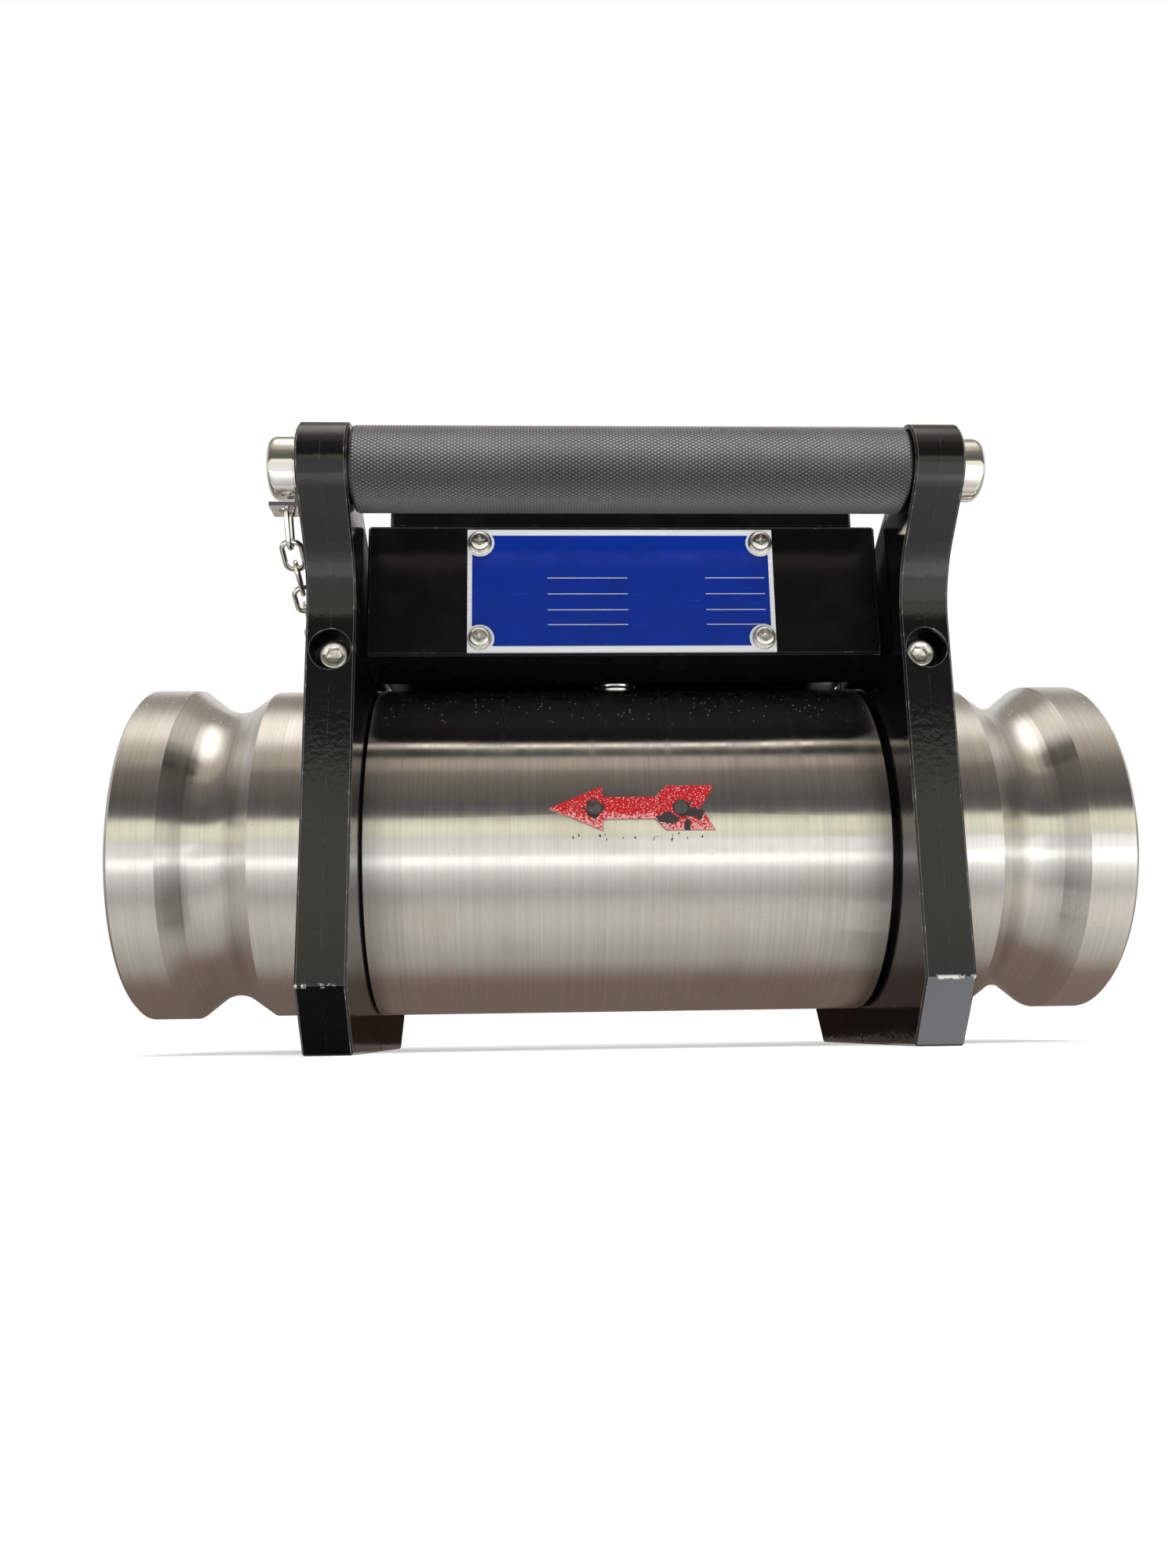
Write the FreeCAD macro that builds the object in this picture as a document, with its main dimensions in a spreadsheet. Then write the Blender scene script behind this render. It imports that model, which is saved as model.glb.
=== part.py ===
"""Portable turbine flow meter with cam-groove pipe ends, two clamp plates and a knurled carrying handle.

All sizes are in millimetres. The outlines below are drawn about the middle of the pipe axis:
X runs along the pipe, Y away from the handle, Z up. The flow runs from +X (inlet) to -X (outlet).
Every piece is then set down so that the plates stand on Z = 0 and the whole meter is centred on the origin.
"""
import FreeCAD
import Part
import Sketcher
import math
import os

DOC = FreeCAD.newDocument("flow_meter")
VECTOR = FreeCAD.Vector

# Driving sizes: name, millimetres (or a plain count), meaning
DRIVING_SIZES = [
    ("body_half_length", 128.8, "half the length of the meter body"),
    ("land_radius", 45.75, "outer land of each pipe end, for a 3 inch cam coupler"),
    ("land_width", 12.4, "width of that land"),
    ("end_chamfer", 1.0, "chamfer on the pipe ends"),
    ("groove_radius", 9.5, "cam groove arc"),
    ("groove_root_radius", 39.55, "pipe radius at the bottom of the cam groove"),
    ("groove_half_width", 11.1, "half the width of the cam groove at its edges"),
    ("collar_radius", 45.25, "collar between groove and plate"),
    ("collar_width", 15.0, "width of that collar"),
    ("neck_radius", 37.5, "turned-down neck that the plates clamp"),
    ("neck_width", 13.0, "width of the neck"),
    ("tube_radius", 45.5, "middle tube"),
    ("edge_break", 0.4, "broken edge on turned corners"),
    ("bore_radius", 35.0, "bore at the pipe ends"),
    ("measuring_radius", 33.0, "bore round the rotor"),
    ("measuring_half_length", 20.0, "half the length of the rotor bore"),
    ("circlip_width", 1.5, "axial width of the circlips"),
    ("circlip_depth", 1.3, "how far a circlip sits in the wall"),
    ("circlip_height", 3.6, "radial height of a circlip"),
    ("vane_length", 30.0, "axial length of the straightener vanes"),
    ("vane_thickness", 2.0, "thickness of a straightener vane"),
    ("vane_count", 6, "vanes in each straightener"),
    ("hub_radius", 13.0, "hub of straighteners and rotor"),
    ("nose_length", 16.0, "rounded nose of a straightener hub"),
    ("nose_flat", 1.0, "radius of the flat at the tip of that nose"),
    ("rotor_half_length", 11.0, "half the length of the rotor hub"),
    ("hub_gap", 3.0, "gap between rotor hub and straightener hub"),
    ("blade_half_length", 8.0, "half the axial length of a blade"),
    ("blade_half_thickness", 0.8, "half a blade's thickness, measured round the hub"),
    ("blade_lead", 180.0, "axial advance of the blade helix in one turn"),
    ("blade_count", 8, "rotor blades"),
    ("tip_clearance", 0.6, "room between blade tips and bore"),
    ("shaft_radius", 2.0, "rotor shaft"),
    ("bearing_radius", 5.0, "outside of the bearing sleeves"),
    ("bearing_length", 10.0, "length of a bearing sleeve"),
    ("bearing_play", 0.04, "running clearance of the shaft"),
    ("end_float", 0.4, "room between rotor hub and bearing"),
    ("plate_thickness", 12.0, "clamp plates"),
    ("left_plate_gap", 0.2, "gap between tube and left plate"),
    ("right_plate_gap", 0.9, "gap between tube and right plate"),
    ("plate_reach", 60.0, "pipe axis to front and rear edges of a plate"),
    ("base_drop", 55.3, "pipe axis to the base of the plates"),
    ("toe_run", 12.4, "chamfered toe, along the base"),
    ("toe_rise", 15.8, "chamfered toe, up the edge"),
    ("throat_radius", 25.0, "hollow curve below the handle"),
    ("head_radius", 10.9, "round head of a plate"),
    ("handle_y", 69.4, "handle axis in front of the pipe axis"),
    ("handle_z", 82.6, "handle axis above the pipe axis"),
    ("plate_top", 52.85, "height of the sloping top edge above the pipe axis"),
    ("plate_slope", 0.5, "fall of the top edge per millimetre towards the back"),
    ("plate_edge", 0.5, "chamfer round the plate outline"),
    ("split_gap", 0.4, "gap between the two halves of a plate"),
    ("seat_play", 0.05, "radial room of a seated piece"),
    ("loose_play", 0.3, "room round a loose piece"),
    ("hole_spare", 0.4, "hole depth past the end of a screw"),
    ("clamp_screw_z", 40.6, "upper clamp screws above the pipe axis"),
    ("lower_screw_z", 42.0, "lower clamp screws below the pipe axis"),
    ("clamp_screw_radius", 2.0, "clamp screw shank"),
    ("clamp_head_radius", 3.8, "clamp screw head"),
    ("clamp_head_height", 4.0, "clamp screw head height"),
    ("clamp_socket", 2.1, "hexagon socket, centre to corner"),
    ("clamp_socket_depth", 2.2, "depth of that socket"),
    ("counterbore_radius", 5.1, "counterbore for the clamp screw heads"),
    ("counterbore_depth", 8.7, "depth of that counterbore"),
    ("clamp_thread", 12.0, "thread length past the split"),
    ("bar_radius", 10.35, "knurled handle bar"),
    ("bar_relief", 0.6, "step at each end of the bar"),
    ("bar_end_radius", 8.0, "radius of that step"),
    ("cap_radius", 7.5, "polished handle bolts"),
    ("cap_height", 6.4, "height of their heads"),
    ("cap_round", 2.0, "rounding of their heads"),
    ("cap_shank_radius", 4.0, "shank of the handle bolts"),
    ("cap_thread", 14.0, "shank length inside the bar"),
    ("housing_reach", 47.5, "pipe axis to front and back of the housing"),
    ("housing_lap", 2.6, "underside of the housing below the top of the tube"),
    ("housing_height", 34.9, "height of the housing"),
    ("housing_gap", 0.4, "housing end short of the tube end"),
    ("housing_end_wall", 10.0, "end walls of the housing"),
    ("housing_side_wall", 7.5, "front and back walls of the housing"),
    ("housing_edge", 0.6, "chamfer on the housing edges"),
    ("floor_rise", 9.1, "housing floor above its underside"),
    ("saddle_gap", 2.8, "room between the tube and the hollow under the housing"),
    ("cover_inset_x", 5.3, "cover short of the housing ends"),
    ("cover_inset_y", 2.5, "cover short of the housing front"),
    ("cover_height", 8.6, "thickness of the cover"),
    ("gasket_height", 0.6, "thickness of the cover gasket"),
    ("gasket_margin", 0.5, "gasket short of the cover edge"),
    ("gasket_width", 3.6, "width of the gasket"),
    ("post_radius", 5.5, "corner posts that take the cover screws"),
    ("cover_screw_inset", 5.5, "cover screws in from the cover edges"),
    ("cover_head_radius", 3.5, "cover screw head"),
    ("cover_head_height", 3.6, "cover screw head height"),
    ("cover_screw_radius", 2.0, "cover screw shank"),
    ("cover_thread", 11.0, "cover screw length in the post"),
    ("cover_sink", 0.4, "screw heads and window pane below the cover top"),
    ("window_margin_x", 27.5, "display window in from the cover ends"),
    ("window_margin_y", 15.0, "display window in from the back of the cover"),
    ("window_gap", 18.0, "display window behind the row of buttons"),
    ("window_thickness", 2.8, "window pane"),
    ("window_ledge", 3.0, "ledge that carries the pane"),
    ("button_radius", 4.5, "push buttons"),
    ("button_rise", 1.2, "button top above the cover"),
    ("button_flange", 1.1, "radial width and height of the button flange"),
    ("button_play", 0.3, "room round a button"),
    ("button_travel", 1.0, "travel of a button"),
    ("button_spacing", 20.0, "distance between buttons"),
    ("button_inset", 17.0, "buttons in from the front of the cover"),
    ("board_rise", 12.0, "circuit board above the housing floor"),
    ("board_thickness", 1.6, "circuit board"),
    ("board_margin_x", 5.8, "circuit board short of the end walls"),
    ("board_margin_y", 4.0, "circuit board short of the front and back walls"),
    ("standoff_radius", 2.5, "board standoffs"),
    ("standoff_inset", 6.0, "standoffs in from the board edges"),
    ("board_screw_radius", 1.2, "board screw shank"),
    ("board_screw_length", 4.0, "board screw length in the standoff"),
    ("switch_radius", 3.0, "key switches under the buttons"),
    ("switch_gap", 0.4, "room between a pressed button and its switch"),
    ("display_gap", 0.4, "room round the face of the display"),
    ("battery_half_x", 26.0, "half the width of the battery pack"),
    ("battery_height", 11.0, "height of the battery pack"),
    ("battery_gap", 2.2, "room between the lock nut and the battery pack"),
    ("battery_margin", 4.0, "battery pack short of the back wall"),
    ("boss_radius", 6.7, "pickup boss on the tube"),
    ("boss_sink", 1.1, "spot face for the boss below the top of the tube"),
    ("boss_rise", 3.1, "shoulder that carries the housing, above the top of the tube"),
    ("boss_neck_radius", 5.5, "threaded neck of the boss"),
    ("boss_neck_length", 9.4, "length of that neck"),
    ("pickup_radius", 4.0, "pickup coil body"),
    ("pickup_wall", 3.0, "wall between the rotor bore and the pickup pocket"),
    ("pickup_head", 3.0, "height of the pickup's head"),
    ("nut_height", 5.0, "pickup lock nut"),
    ("nut_corner_radius", 9.8, "lock nut, centre to corner"),
    ("label_width", 78.7, "nameplate width"),
    ("label_height", 33.0, "nameplate height"),
    ("label_thickness", 0.8, "nameplate thickness"),
    ("label_x", -0.9, "middle of the nameplate along the pipe"),
    ("label_rise", 17.0, "middle of the nameplate above the underside of the housing"),
    ("label_screw_dx", 72.4, "spacing of the nameplate screws along the pipe"),
    ("label_screw_dz", 25.8, "spacing of the nameplate screws upwards"),
    ("label_screw_radius", 1.2, "nameplate screw shank"),
    ("label_screw_length", 5.0, "nameplate screw length in the housing"),
    ("label_head_radius", 2.6, "nameplate screw head"),
    ("label_head_height", 1.7, "nameplate screw head height"),
    ("washer_radius", 3.1, "nameplate washer"),
    ("washer_thickness", 0.4, "nameplate washer thickness"),
    ("arrow_tip", 20.1, "flow arrow tip towards the outlet"),
    ("arrow_tail", 21.4, "flow arrow tail towards the inlet"),
    ("arrow_half_height", 5.75, "half the height of the arrow"),
    ("arrow_head", 13.6, "length of the arrow head"),
    ("arrow_shaft", 2.85, "half the height of the arrow shaft"),
    ("arrow_flight", 12.1, "length of the flight at the tail"),
    ("arrow_notch", 3.5, "depth of the notch in the tail"),
    ("arrow_thickness", 0.8, "arrow plate"),
    ("arrow_tilt", 4.54, "degrees that the arrow sits above the pipe's mid line"),
    ("rivet_radius", 1.0, "rivet shank"),
    ("rivet_head_radius", 1.9, "rivet head"),
    ("rivet_head_height", 0.8, "rivet head height"),
    ("rivet_length", 3.0, "rivet shank in the tube"),
    ("eyelet_thickness", 1.0, "tab washer that holds the chain"),
    ("eyelet_radius", 7.0, "round part of the tab washer"),
    ("eyelet_half_width", 3.2, "half the width of its tab"),
    ("eyelet_drop", 10.8, "underside of the tab below the handle axis"),
    ("eyelet_reach", 7.0, "tab out from the plate"),
    ("eyelet_hole", 1.7, "hole in the tab"),
    ("wire_radius", 0.65, "chain wire"),
    ("link_length", 11.5, "chain link over its ends"),
    ("link_width", 6.0, "chain link across"),
    ("link_play", 0.2, "slack between links"),
    ("link_lean", 30.0, "degrees that the first link leans back"),
    ("ring_radius", 8.4, "split ring at the end of the chain"),
    ("ring_wire", 0.8, "wire of that ring"),
    ("ring_lean", 60.0, "degrees that the ring leans up against the plate"),
    ("link_count", 9, "links in the chain"),
    ("chain_slack", 0.3, "chain length past the straight way to its ring"),
]

SHEET = DOC.addObject("Spreadsheet::Sheet", "sizes")


def fill_sheet():
    for row, (alias, value, meaning) in enumerate(DRIVING_SIZES, start=1):
        SHEET.set(f"A{row}", meaning)
        SHEET.set(f"B{row}", str(value))
        SHEET.setAlias(f"B{row}", alias)
    DOC.recompute()


class Size:
    """A length that keeps its number together with the sheet formula that gives it."""

    def __init__(self, value, formula):
        self.value = float(value)
        self.formula = formula

    def _join(self, other, sign, value):
        other_formula = other.formula if isinstance(other, Size) else repr(float(other))
        return Size(value, f"({self.formula} {sign} {other_formula})")

    def __add__(self, other):
        return self._join(other, "+", self.value + number(other))

    def __sub__(self, other):
        return self._join(other, "-", self.value - number(other))

    def __mul__(self, other):
        return self._join(other, "*", self.value * number(other))

    def __truediv__(self, other):
        return self._join(other, "/", self.value / number(other))

    def __neg__(self):
        return Size(-self.value, f"(-1 * {self.formula})")

    def __radd__(self, other):
        return self + other

    def __rmul__(self, other):
        return self * other

    def __rsub__(self, other):
        return -self + other


def number(size):
    return size.value if isinstance(size, Size) else float(size)


def root(size):
    return Size(math.sqrt(size.value), f"sqrt({size.formula})")


class Sheet:
    """Reads a driving size from the spreadsheet by its alias."""

    def __getattr__(self, alias):
        return Size(SHEET.get(alias), f"sizes.{alias}")


fill_sheet()
S = Sheet()
ROOT_TWO = math.sqrt(2)
WIRE_SIDES = 8
NODES = []

# Where the pipe axis lies in the finished part
AXIS_Y = (S.handle_y + S.head_radius - S.plate_reach) / 2
AXIS_Z = S.base_drop

# Places along the pipe, from the end inwards
GROOVE_X = S.body_half_length - S.land_width - S.groove_half_width
COLLAR_X = GROOVE_X - S.groove_half_width
NECK_X = COLLAR_X - S.collar_width
TUBE_X = NECK_X - S.neck_width
LEFT_FACE = -(TUBE_X + S.left_plate_gap)
RIGHT_FACE = TUBE_X + S.right_plate_gap

# Heights in the housing
HOUSING_BOTTOM = S.tube_radius - S.housing_lap
HOUSING_TOP = HOUSING_BOTTOM + S.housing_height
FLOOR = HOUSING_BOTTOM + S.floor_rise
COVER_BOTTOM = HOUSING_TOP + S.gasket_height
COVER_TOP = COVER_BOTTOM + S.cover_height
BOARD_BOTTOM = FLOOR + S.board_rise
BOARD_TOP = BOARD_BOTTOM + S.board_thickness
LABEL_Z = HOUSING_BOTTOM + S.label_rise
BOSS_SEAT = S.tube_radius - S.boss_sink
BOSS_TOP = S.tube_radius + S.boss_rise
PICKUP_BOTTOM = S.measuring_radius + S.pickup_wall

# Half widths in the housing
HOUSING_HALF = TUBE_X - S.housing_gap
COVER_HALF_X = HOUSING_HALF - S.cover_inset_x
COVER_HALF_Y = S.housing_reach - S.cover_inset_y
BUTTON_Y = S.button_inset - COVER_HALF_Y
WINDOW_HALF_X = COVER_HALF_X - S.window_margin_x
WINDOW_FRONT = BUTTON_Y + S.window_gap
WINDOW_BACK = COVER_HALF_Y - S.window_margin_y
CAVITY_HALF_X = HOUSING_HALF - S.housing_end_wall
CAVITY_HALF_Y = S.housing_reach - S.housing_side_wall
BOARD_HALF_X = CAVITY_HALF_X - S.board_margin_x
BOARD_HALF_Y = CAVITY_HALF_Y - S.board_margin_y

ALONG_X = FreeCAD.Rotation(VECTOR(0, 1, 0), 90)
ALONG_Y = FreeCAD.Rotation(VECTOR(1, 0, 0), -90)
ALONG_Z = FreeCAD.Rotation()


# Helpers that bind objects to the sheet

def bind(thing, prop, size):
    """Set a property, and its formula where the size comes from the sheet."""
    if isinstance(size, Size):
        thing.setExpression(prop, size.formula)


def place(thing, x=0, y=0, z=0, rotation=ALONG_Z):
    """Put a piece at a point measured from the middle of the pipe axis."""
    at = (Size(0, "0") + x, AXIS_Y + y, AXIS_Z + z)
    thing.Placement = FreeCAD.Placement(VECTOR(*[size.value for size in at]), rotation)
    for axis, size in zip("xyz", at):
        bind(thing, f"Placement.Base.{axis}", size)
    return thing


def name_node(thing, label):
    thing.Label = label
    NODES.append(thing)
    return thing


def new_body(name):
    return place(DOC.addObject("PartDesign::Body", name))


def new_sketch(body, role, offset=None):
    plane = next(item for item in body.Origin.OriginFeatures if item.Role == role)
    sketch = body.newObject("Sketcher::SketchObject", f"{body.Name}_sketch")
    sketch.AttachmentSupport = [(plane, "")]
    sketch.MapMode = "FlatFace"
    if offset is not None:
        sketch.AttachmentOffset = FreeCAD.Placement(VECTOR(0, 0, offset.value), FreeCAD.Rotation())
        bind(sketch, "AttachmentOffset.Base.z", offset)
    return sketch


def hold(sketch, kind, geometry, point, size):
    """Fix one coordinate of a sketch point by a size, or lay it on an axis where it is zero."""
    if not isinstance(size, Size):
        axis = -2 if kind == "DistanceX" else -1
        sketch.addConstraint(Sketcher.Constraint("PointOnObject", geometry, point, axis))
        return
    index = sketch.addConstraint(Sketcher.Constraint(kind, -1, 1, geometry, point, size.value))
    sketch.setExpression(f"Constraints[{index}]", size.formula)


def hold_radius(sketch, geometry, radius):
    index = sketch.addConstraint(Sketcher.Constraint("Radius", geometry, radius.value))
    sketch.setExpression(f"Constraints[{index}]", radius.formula)


def draw(sketch, corners, arcs=None):
    """Draw a closed outline through corners.

    arcs gives (centre x, centre y, radius, anticlockwise) for the edge that follows a corner.
    """
    arcs = arcs or {}
    points = [VECTOR(number(x), number(y), 0) for x, y in corners]
    edges = []
    for index, start in enumerate(points):
        end = points[(index + 1) % len(points)]
        if index not in arcs:
            edges.append((sketch.addGeometry(Part.LineSegment(start, end)), 1, 2))
            continue
        x, y, radius, anticlockwise = arcs[index]
        centre = VECTOR(number(x), number(y), 0)
        first, last = (start, end) if anticlockwise else (end, start)
        angles = [math.atan2(point.y - centre.y, point.x - centre.x) for point in (first, last)]
        if angles[1] <= angles[0]:
            angles[1] += 2 * math.pi
        circle = Part.Circle(centre, VECTOR(0, 0, 1), radius.value)
        geometry = sketch.addGeometry(Part.ArcOfCircle(circle, *angles))
        edges.append((geometry, 1, 2) if anticlockwise else (geometry, 2, 1))
        hold_radius(sketch, geometry, radius)
    for index, (geometry, _, end) in enumerate(edges):
        following, start, _ = edges[(index + 1) % len(edges)]
        sketch.addConstraint(Sketcher.Constraint("Coincident", geometry, end, following, start))
    for (geometry, start, _), (x, y) in zip(edges, corners):
        hold(sketch, "DistanceX", geometry, start, x)
        hold(sketch, "DistanceY", geometry, start, y)


def turn(name, corners, arcs=None, degrees=360):
    """Revolve an outline (x along the pipe, radius) about the pipe axis."""
    body = new_body(name)
    sketch = new_sketch(body, "XZ_Plane")
    draw(sketch, corners, arcs)
    revolution = body.newObject("PartDesign::Revolution", f"{name}_turned")
    revolution.Profile = sketch
    revolution.ReferenceAxis = (sketch, ["H_Axis"])
    revolution.Angle = degrees
    return body


def repeat_round(body, feature, count):
    """Repeat a feature round the pipe axis."""
    axis = next(item for item in body.Origin.OriginFeatures if item.Role == "X_Axis")
    pattern = body.newObject("PartDesign::PolarPattern", f"{body.Name}_pattern")
    pattern.Originals = [feature]
    pattern.Axis = (axis, [""])
    pattern.Angle = 360
    pattern.Occurrences = int(count.value)
    pattern.setExpression("Occurrences", count.formula)
    body.Tip = pattern


def pad(body, sketch, length, midplane=False):
    feature = body.newObject("PartDesign::Pad", f"{body.Name}_pad")
    feature.Profile = sketch
    bind(feature, "Length", length)
    feature.Midplane = midplane
    return feature


def cylinder(name, radius, length, at, rotation=ALONG_Z):
    piece = DOC.addObject("Part::Cylinder", name)
    bind(piece, "Radius", radius)
    bind(piece, "Height", length)
    return place(piece, *at, rotation)


def block(name, low, high):
    """A box between two opposite corners."""
    piece = DOC.addObject("Part::Box", name)
    for prop, start, end in zip(("Length", "Width", "Height"), low, high):
        bind(piece, prop, Size(0, "0") + end - start)
    return place(piece, *low)


def prism(name, corner_radius, length, at, rotation=ALONG_Z):
    """A hexagonal prism."""
    piece = DOC.addObject("Part::Prism", name)
    piece.Polygon = 6
    bind(piece, "Circumradius", corner_radius)
    bind(piece, "Height", length)
    return place(piece, *at, rotation)


def join(name, pieces):
    fused = DOC.addObject("Part::MultiFuse", name)
    fused.Shapes = pieces
    fused.Refine = True
    return fused


def cut(name, base, tools):
    result = DOC.addObject("Part::Cut", name)
    result.Base = base
    result.Tool = tools[0] if len(tools) == 1 else join(f"{name}_tools", tools)
    return result


def group(name, pieces):
    """Separate solids that share one node."""
    compound = DOC.addObject("Part::Compound", name)
    compound.Links = pieces
    return compound


def soften(name, base, size):
    """Chamfer every edge of a plain box."""
    DOC.recompute()
    chamfer = DOC.addObject("Part::Chamfer", name)
    chamfer.Base = base
    count = len(base.Shape.Edges)
    chamfer.Edges = [(index, size.value, size.value) for index in range(1, count + 1)]
    return chamfer


# The meter body

def tangent_point(edge_x, edge_radius, side):
    """Where the flank from a groove edge meets the groove's arc; side is +1 for the outer flank."""
    reach_x = (edge_x - GROOVE_X)
    reach_y = edge_radius - S.groove_root_radius - S.groove_radius
    square = reach_x * reach_x + reach_y * reach_y
    along = S.groove_radius * S.groove_radius / square
    across = S.groove_radius * root(square - S.groove_radius * S.groove_radius) / square * side
    x = GROOVE_X + along * reach_x + across * reach_y
    radius = S.groove_root_radius + S.groove_radius + along * reach_y - across * reach_x
    return x, radius


def body_outline():
    """One end of the meter body from the rotor bore out, along the end and back over the outside."""
    stop = S.measuring_half_length + S.vane_length
    groove_end = stop + S.circlip_width + S.seat_play * 2
    inner = [
        (S.measuring_half_length, S.measuring_radius),
        (S.measuring_half_length, S.bore_radius),
        (stop, S.bore_radius),
        (stop, S.bore_radius + S.circlip_depth),
        (groove_end, S.bore_radius + S.circlip_depth),
        (groove_end, S.bore_radius),
        (S.body_half_length - S.end_chamfer, S.bore_radius),
        (S.body_half_length, S.bore_radius + S.end_chamfer),
    ]
    groove_edge = GROOVE_X + S.groove_half_width
    outer = [
        (S.body_half_length, S.land_radius - S.end_chamfer),
        (S.body_half_length - S.end_chamfer, S.land_radius),
        (groove_edge, S.land_radius),
        tangent_point(groove_edge, S.land_radius, 1),
        tangent_point(COLLAR_X, S.collar_radius, -1),
        (COLLAR_X, S.collar_radius),
        (NECK_X + S.edge_break, S.collar_radius),
        (NECK_X, S.collar_radius - S.edge_break),
        (NECK_X, S.neck_radius),
        (TUBE_X, S.neck_radius),
        (TUBE_X, S.tube_radius - S.edge_break),
        (TUBE_X - S.edge_break, S.tube_radius),
    ]
    return inner, outer


def make_meter_body():
    inner, outer = body_outline()
    right = inner + outer
    left = [(-x, radius) for x, radius in reversed(right)]
    arc_height = S.groove_root_radius + S.groove_radius
    arc_start = len(inner) + 3
    mirrored_start = 2 * len(right) - 2 - arc_start
    arcs = {
        arc_start: (GROOVE_X, arc_height, S.groove_radius, False),
        mirrored_start: (-GROOVE_X, arc_height, S.groove_radius, False),
    }
    turned = turn("body_turned", right + left, arcs)
    pocket = cylinder("pickup_pocket", S.pickup_radius + S.seat_play, S.tube_radius - PICKUP_BOTTOM,
                      (0, 0, PICKUP_BOTTOM))
    spot_face = cylinder("boss_spot_face", S.boss_radius + S.seat_play, BOSS_TOP - BOSS_SEAT,
                         (0, 0, BOSS_SEAT))
    rivet_holes = [
        tilt(cylinder(f"rivet_hole_{index}", S.rivet_radius + S.seat_play, S.rivet_length + S.rivet_length,
                      (x, -S.tube_radius - S.rivet_length, 0), ALONG_Y))
        for index, x in enumerate(rivet_places())
    ]
    name_node(cut("meter_body", turned, [pocket, spot_face] + rivet_holes), "meter_body")


# Flow arrow and its rivets, level with the pipe axis and then tilted up round it

def rivet_places():
    return (-(S.arrow_tip - S.arrow_head * 0.84), S.arrow_tail - S.arrow_flight * 0.7)


def tilt(piece):
    """Turn a piece round the pipe axis by the arrow's tilt."""
    turned = DOC.addObject("Part::Compound", f"{piece.Name}_tilted")
    turned.Links = [piece]
    spin = FreeCAD.Rotation(VECTOR(1, 0, 0), -S.arrow_tilt.value)
    axis = VECTOR(0, AXIS_Y.value, AXIS_Z.value)
    turned.Placement = FreeCAD.Placement(VECTOR(), spin, axis)
    return turned


def make_flow_arrow():
    body = new_body("arrow_outline")
    sketch = new_sketch(body, "XZ_Plane")
    neck = S.arrow_head - S.arrow_tip
    flight = S.arrow_tail - S.arrow_flight
    upper = [
        (neck, S.arrow_half_height),
        (neck, S.arrow_shaft),
        (flight - S.arrow_shaft, S.arrow_shaft),
        (flight, S.arrow_half_height),
        (S.arrow_tail, S.arrow_half_height),
    ]
    lower = [(x, -height) for x, height in reversed(upper)]
    draw(sketch, [(-S.arrow_tip, 0)] + upper + [(S.arrow_tail - S.arrow_notch, 0)] + lower)
    pad(body, sketch, S.tube_radius * 2)
    inner = S.tube_radius + S.seat_play
    shell = cut("arrow_shell", shell_cylinder("arrow_outside", inner + S.arrow_thickness),
                [shell_cylinder("arrow_inside", inner)])
    plate = DOC.addObject("Part::Common", "arrow_plate")
    plate.Base = body
    plate.Tool = shell
    holes = [cylinder(f"arrow_hole_{index}", S.rivet_radius + S.seat_play, S.rivet_length * 2,
                      (x, -S.tube_radius - S.rivet_length, 0), ALONG_Y)
             for index, x in enumerate(rivet_places())]
    name_node(tilt(cut("arrow_drilled", plate, holes)), "flow_arrow")


def shell_cylinder(name, radius):
    return cylinder(name, radius, TUBE_X * 2, (-TUBE_X, 0, 0), ALONG_X)


def make_arrow_rivets():
    rivets = []
    seat = S.tube_radius + S.seat_play + S.arrow_thickness
    for index, x in enumerate(rivet_places()):
        head = DOC.addObject("Part::Cone", f"rivet_head_{index}")
        bind(head, "Radius1", S.rivet_head_radius * 0.6)
        bind(head, "Radius2", S.rivet_head_radius)
        bind(head, "Height", S.rivet_head_height)
        place(head, x, -seat - S.rivet_head_height, 0, ALONG_Y)
        shank = cylinder(f"rivet_shank_{index}", S.rivet_radius, S.rivet_length + S.arrow_thickness,
                         (x, -seat, 0), ALONG_Y)
        rivets.append(join(f"rivet_{index}", [head, shank]))
    name_node(tilt(group("rivet_pair", rivets)), "arrow_rivets")


# Flow straighteners, bearings, circlips and the turbine rotor

def make_straightener(label, side):
    """Bullet-nosed hub with radial vanes; side is +1 at the inlet and -1 at the outlet."""
    inner_end = S.rotor_half_length + S.hub_gap
    bearing_end = S.rotor_half_length + S.end_float + S.bearing_length
    vane_end = S.measuring_half_length + S.vane_length
    nose_drop = S.hub_radius - S.nose_flat
    nose_radius = (S.nose_length * S.nose_length + nose_drop * nose_drop) / (nose_drop * 2)
    corners = [
        (inner_end, S.bearing_radius + S.seat_play),
        (inner_end, S.hub_radius),
        (vane_end, S.hub_radius),
        (vane_end + S.nose_length, S.nose_flat),
        (vane_end + S.nose_length, 0),
        (bearing_end + S.end_float, 0),
        (bearing_end + S.end_float, S.shaft_radius),
        (bearing_end, S.shaft_radius),
        (bearing_end, S.bearing_radius + S.seat_play),
    ]
    nose = (vane_end * side, S.hub_radius - nose_radius, nose_radius, side < 0)
    body = turn(f"{label}_body", [(x * side, radius) for x, radius in corners], {2: nose})
    sketch = new_sketch(body, "XZ_Plane")
    vane_root = S.hub_radius - S.vane_thickness
    vane_tip = S.bore_radius - S.seat_play
    draw(sketch, [
        (S.measuring_half_length * side, vane_root),
        (vane_end * side, vane_root),
        (vane_end * side, vane_tip),
        (S.measuring_half_length * side, vane_tip),
    ])
    vane = pad(body, sketch, S.vane_thickness, midplane=True)
    repeat_round(body, vane, S.vane_count)
    name_node(body, label)


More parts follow.
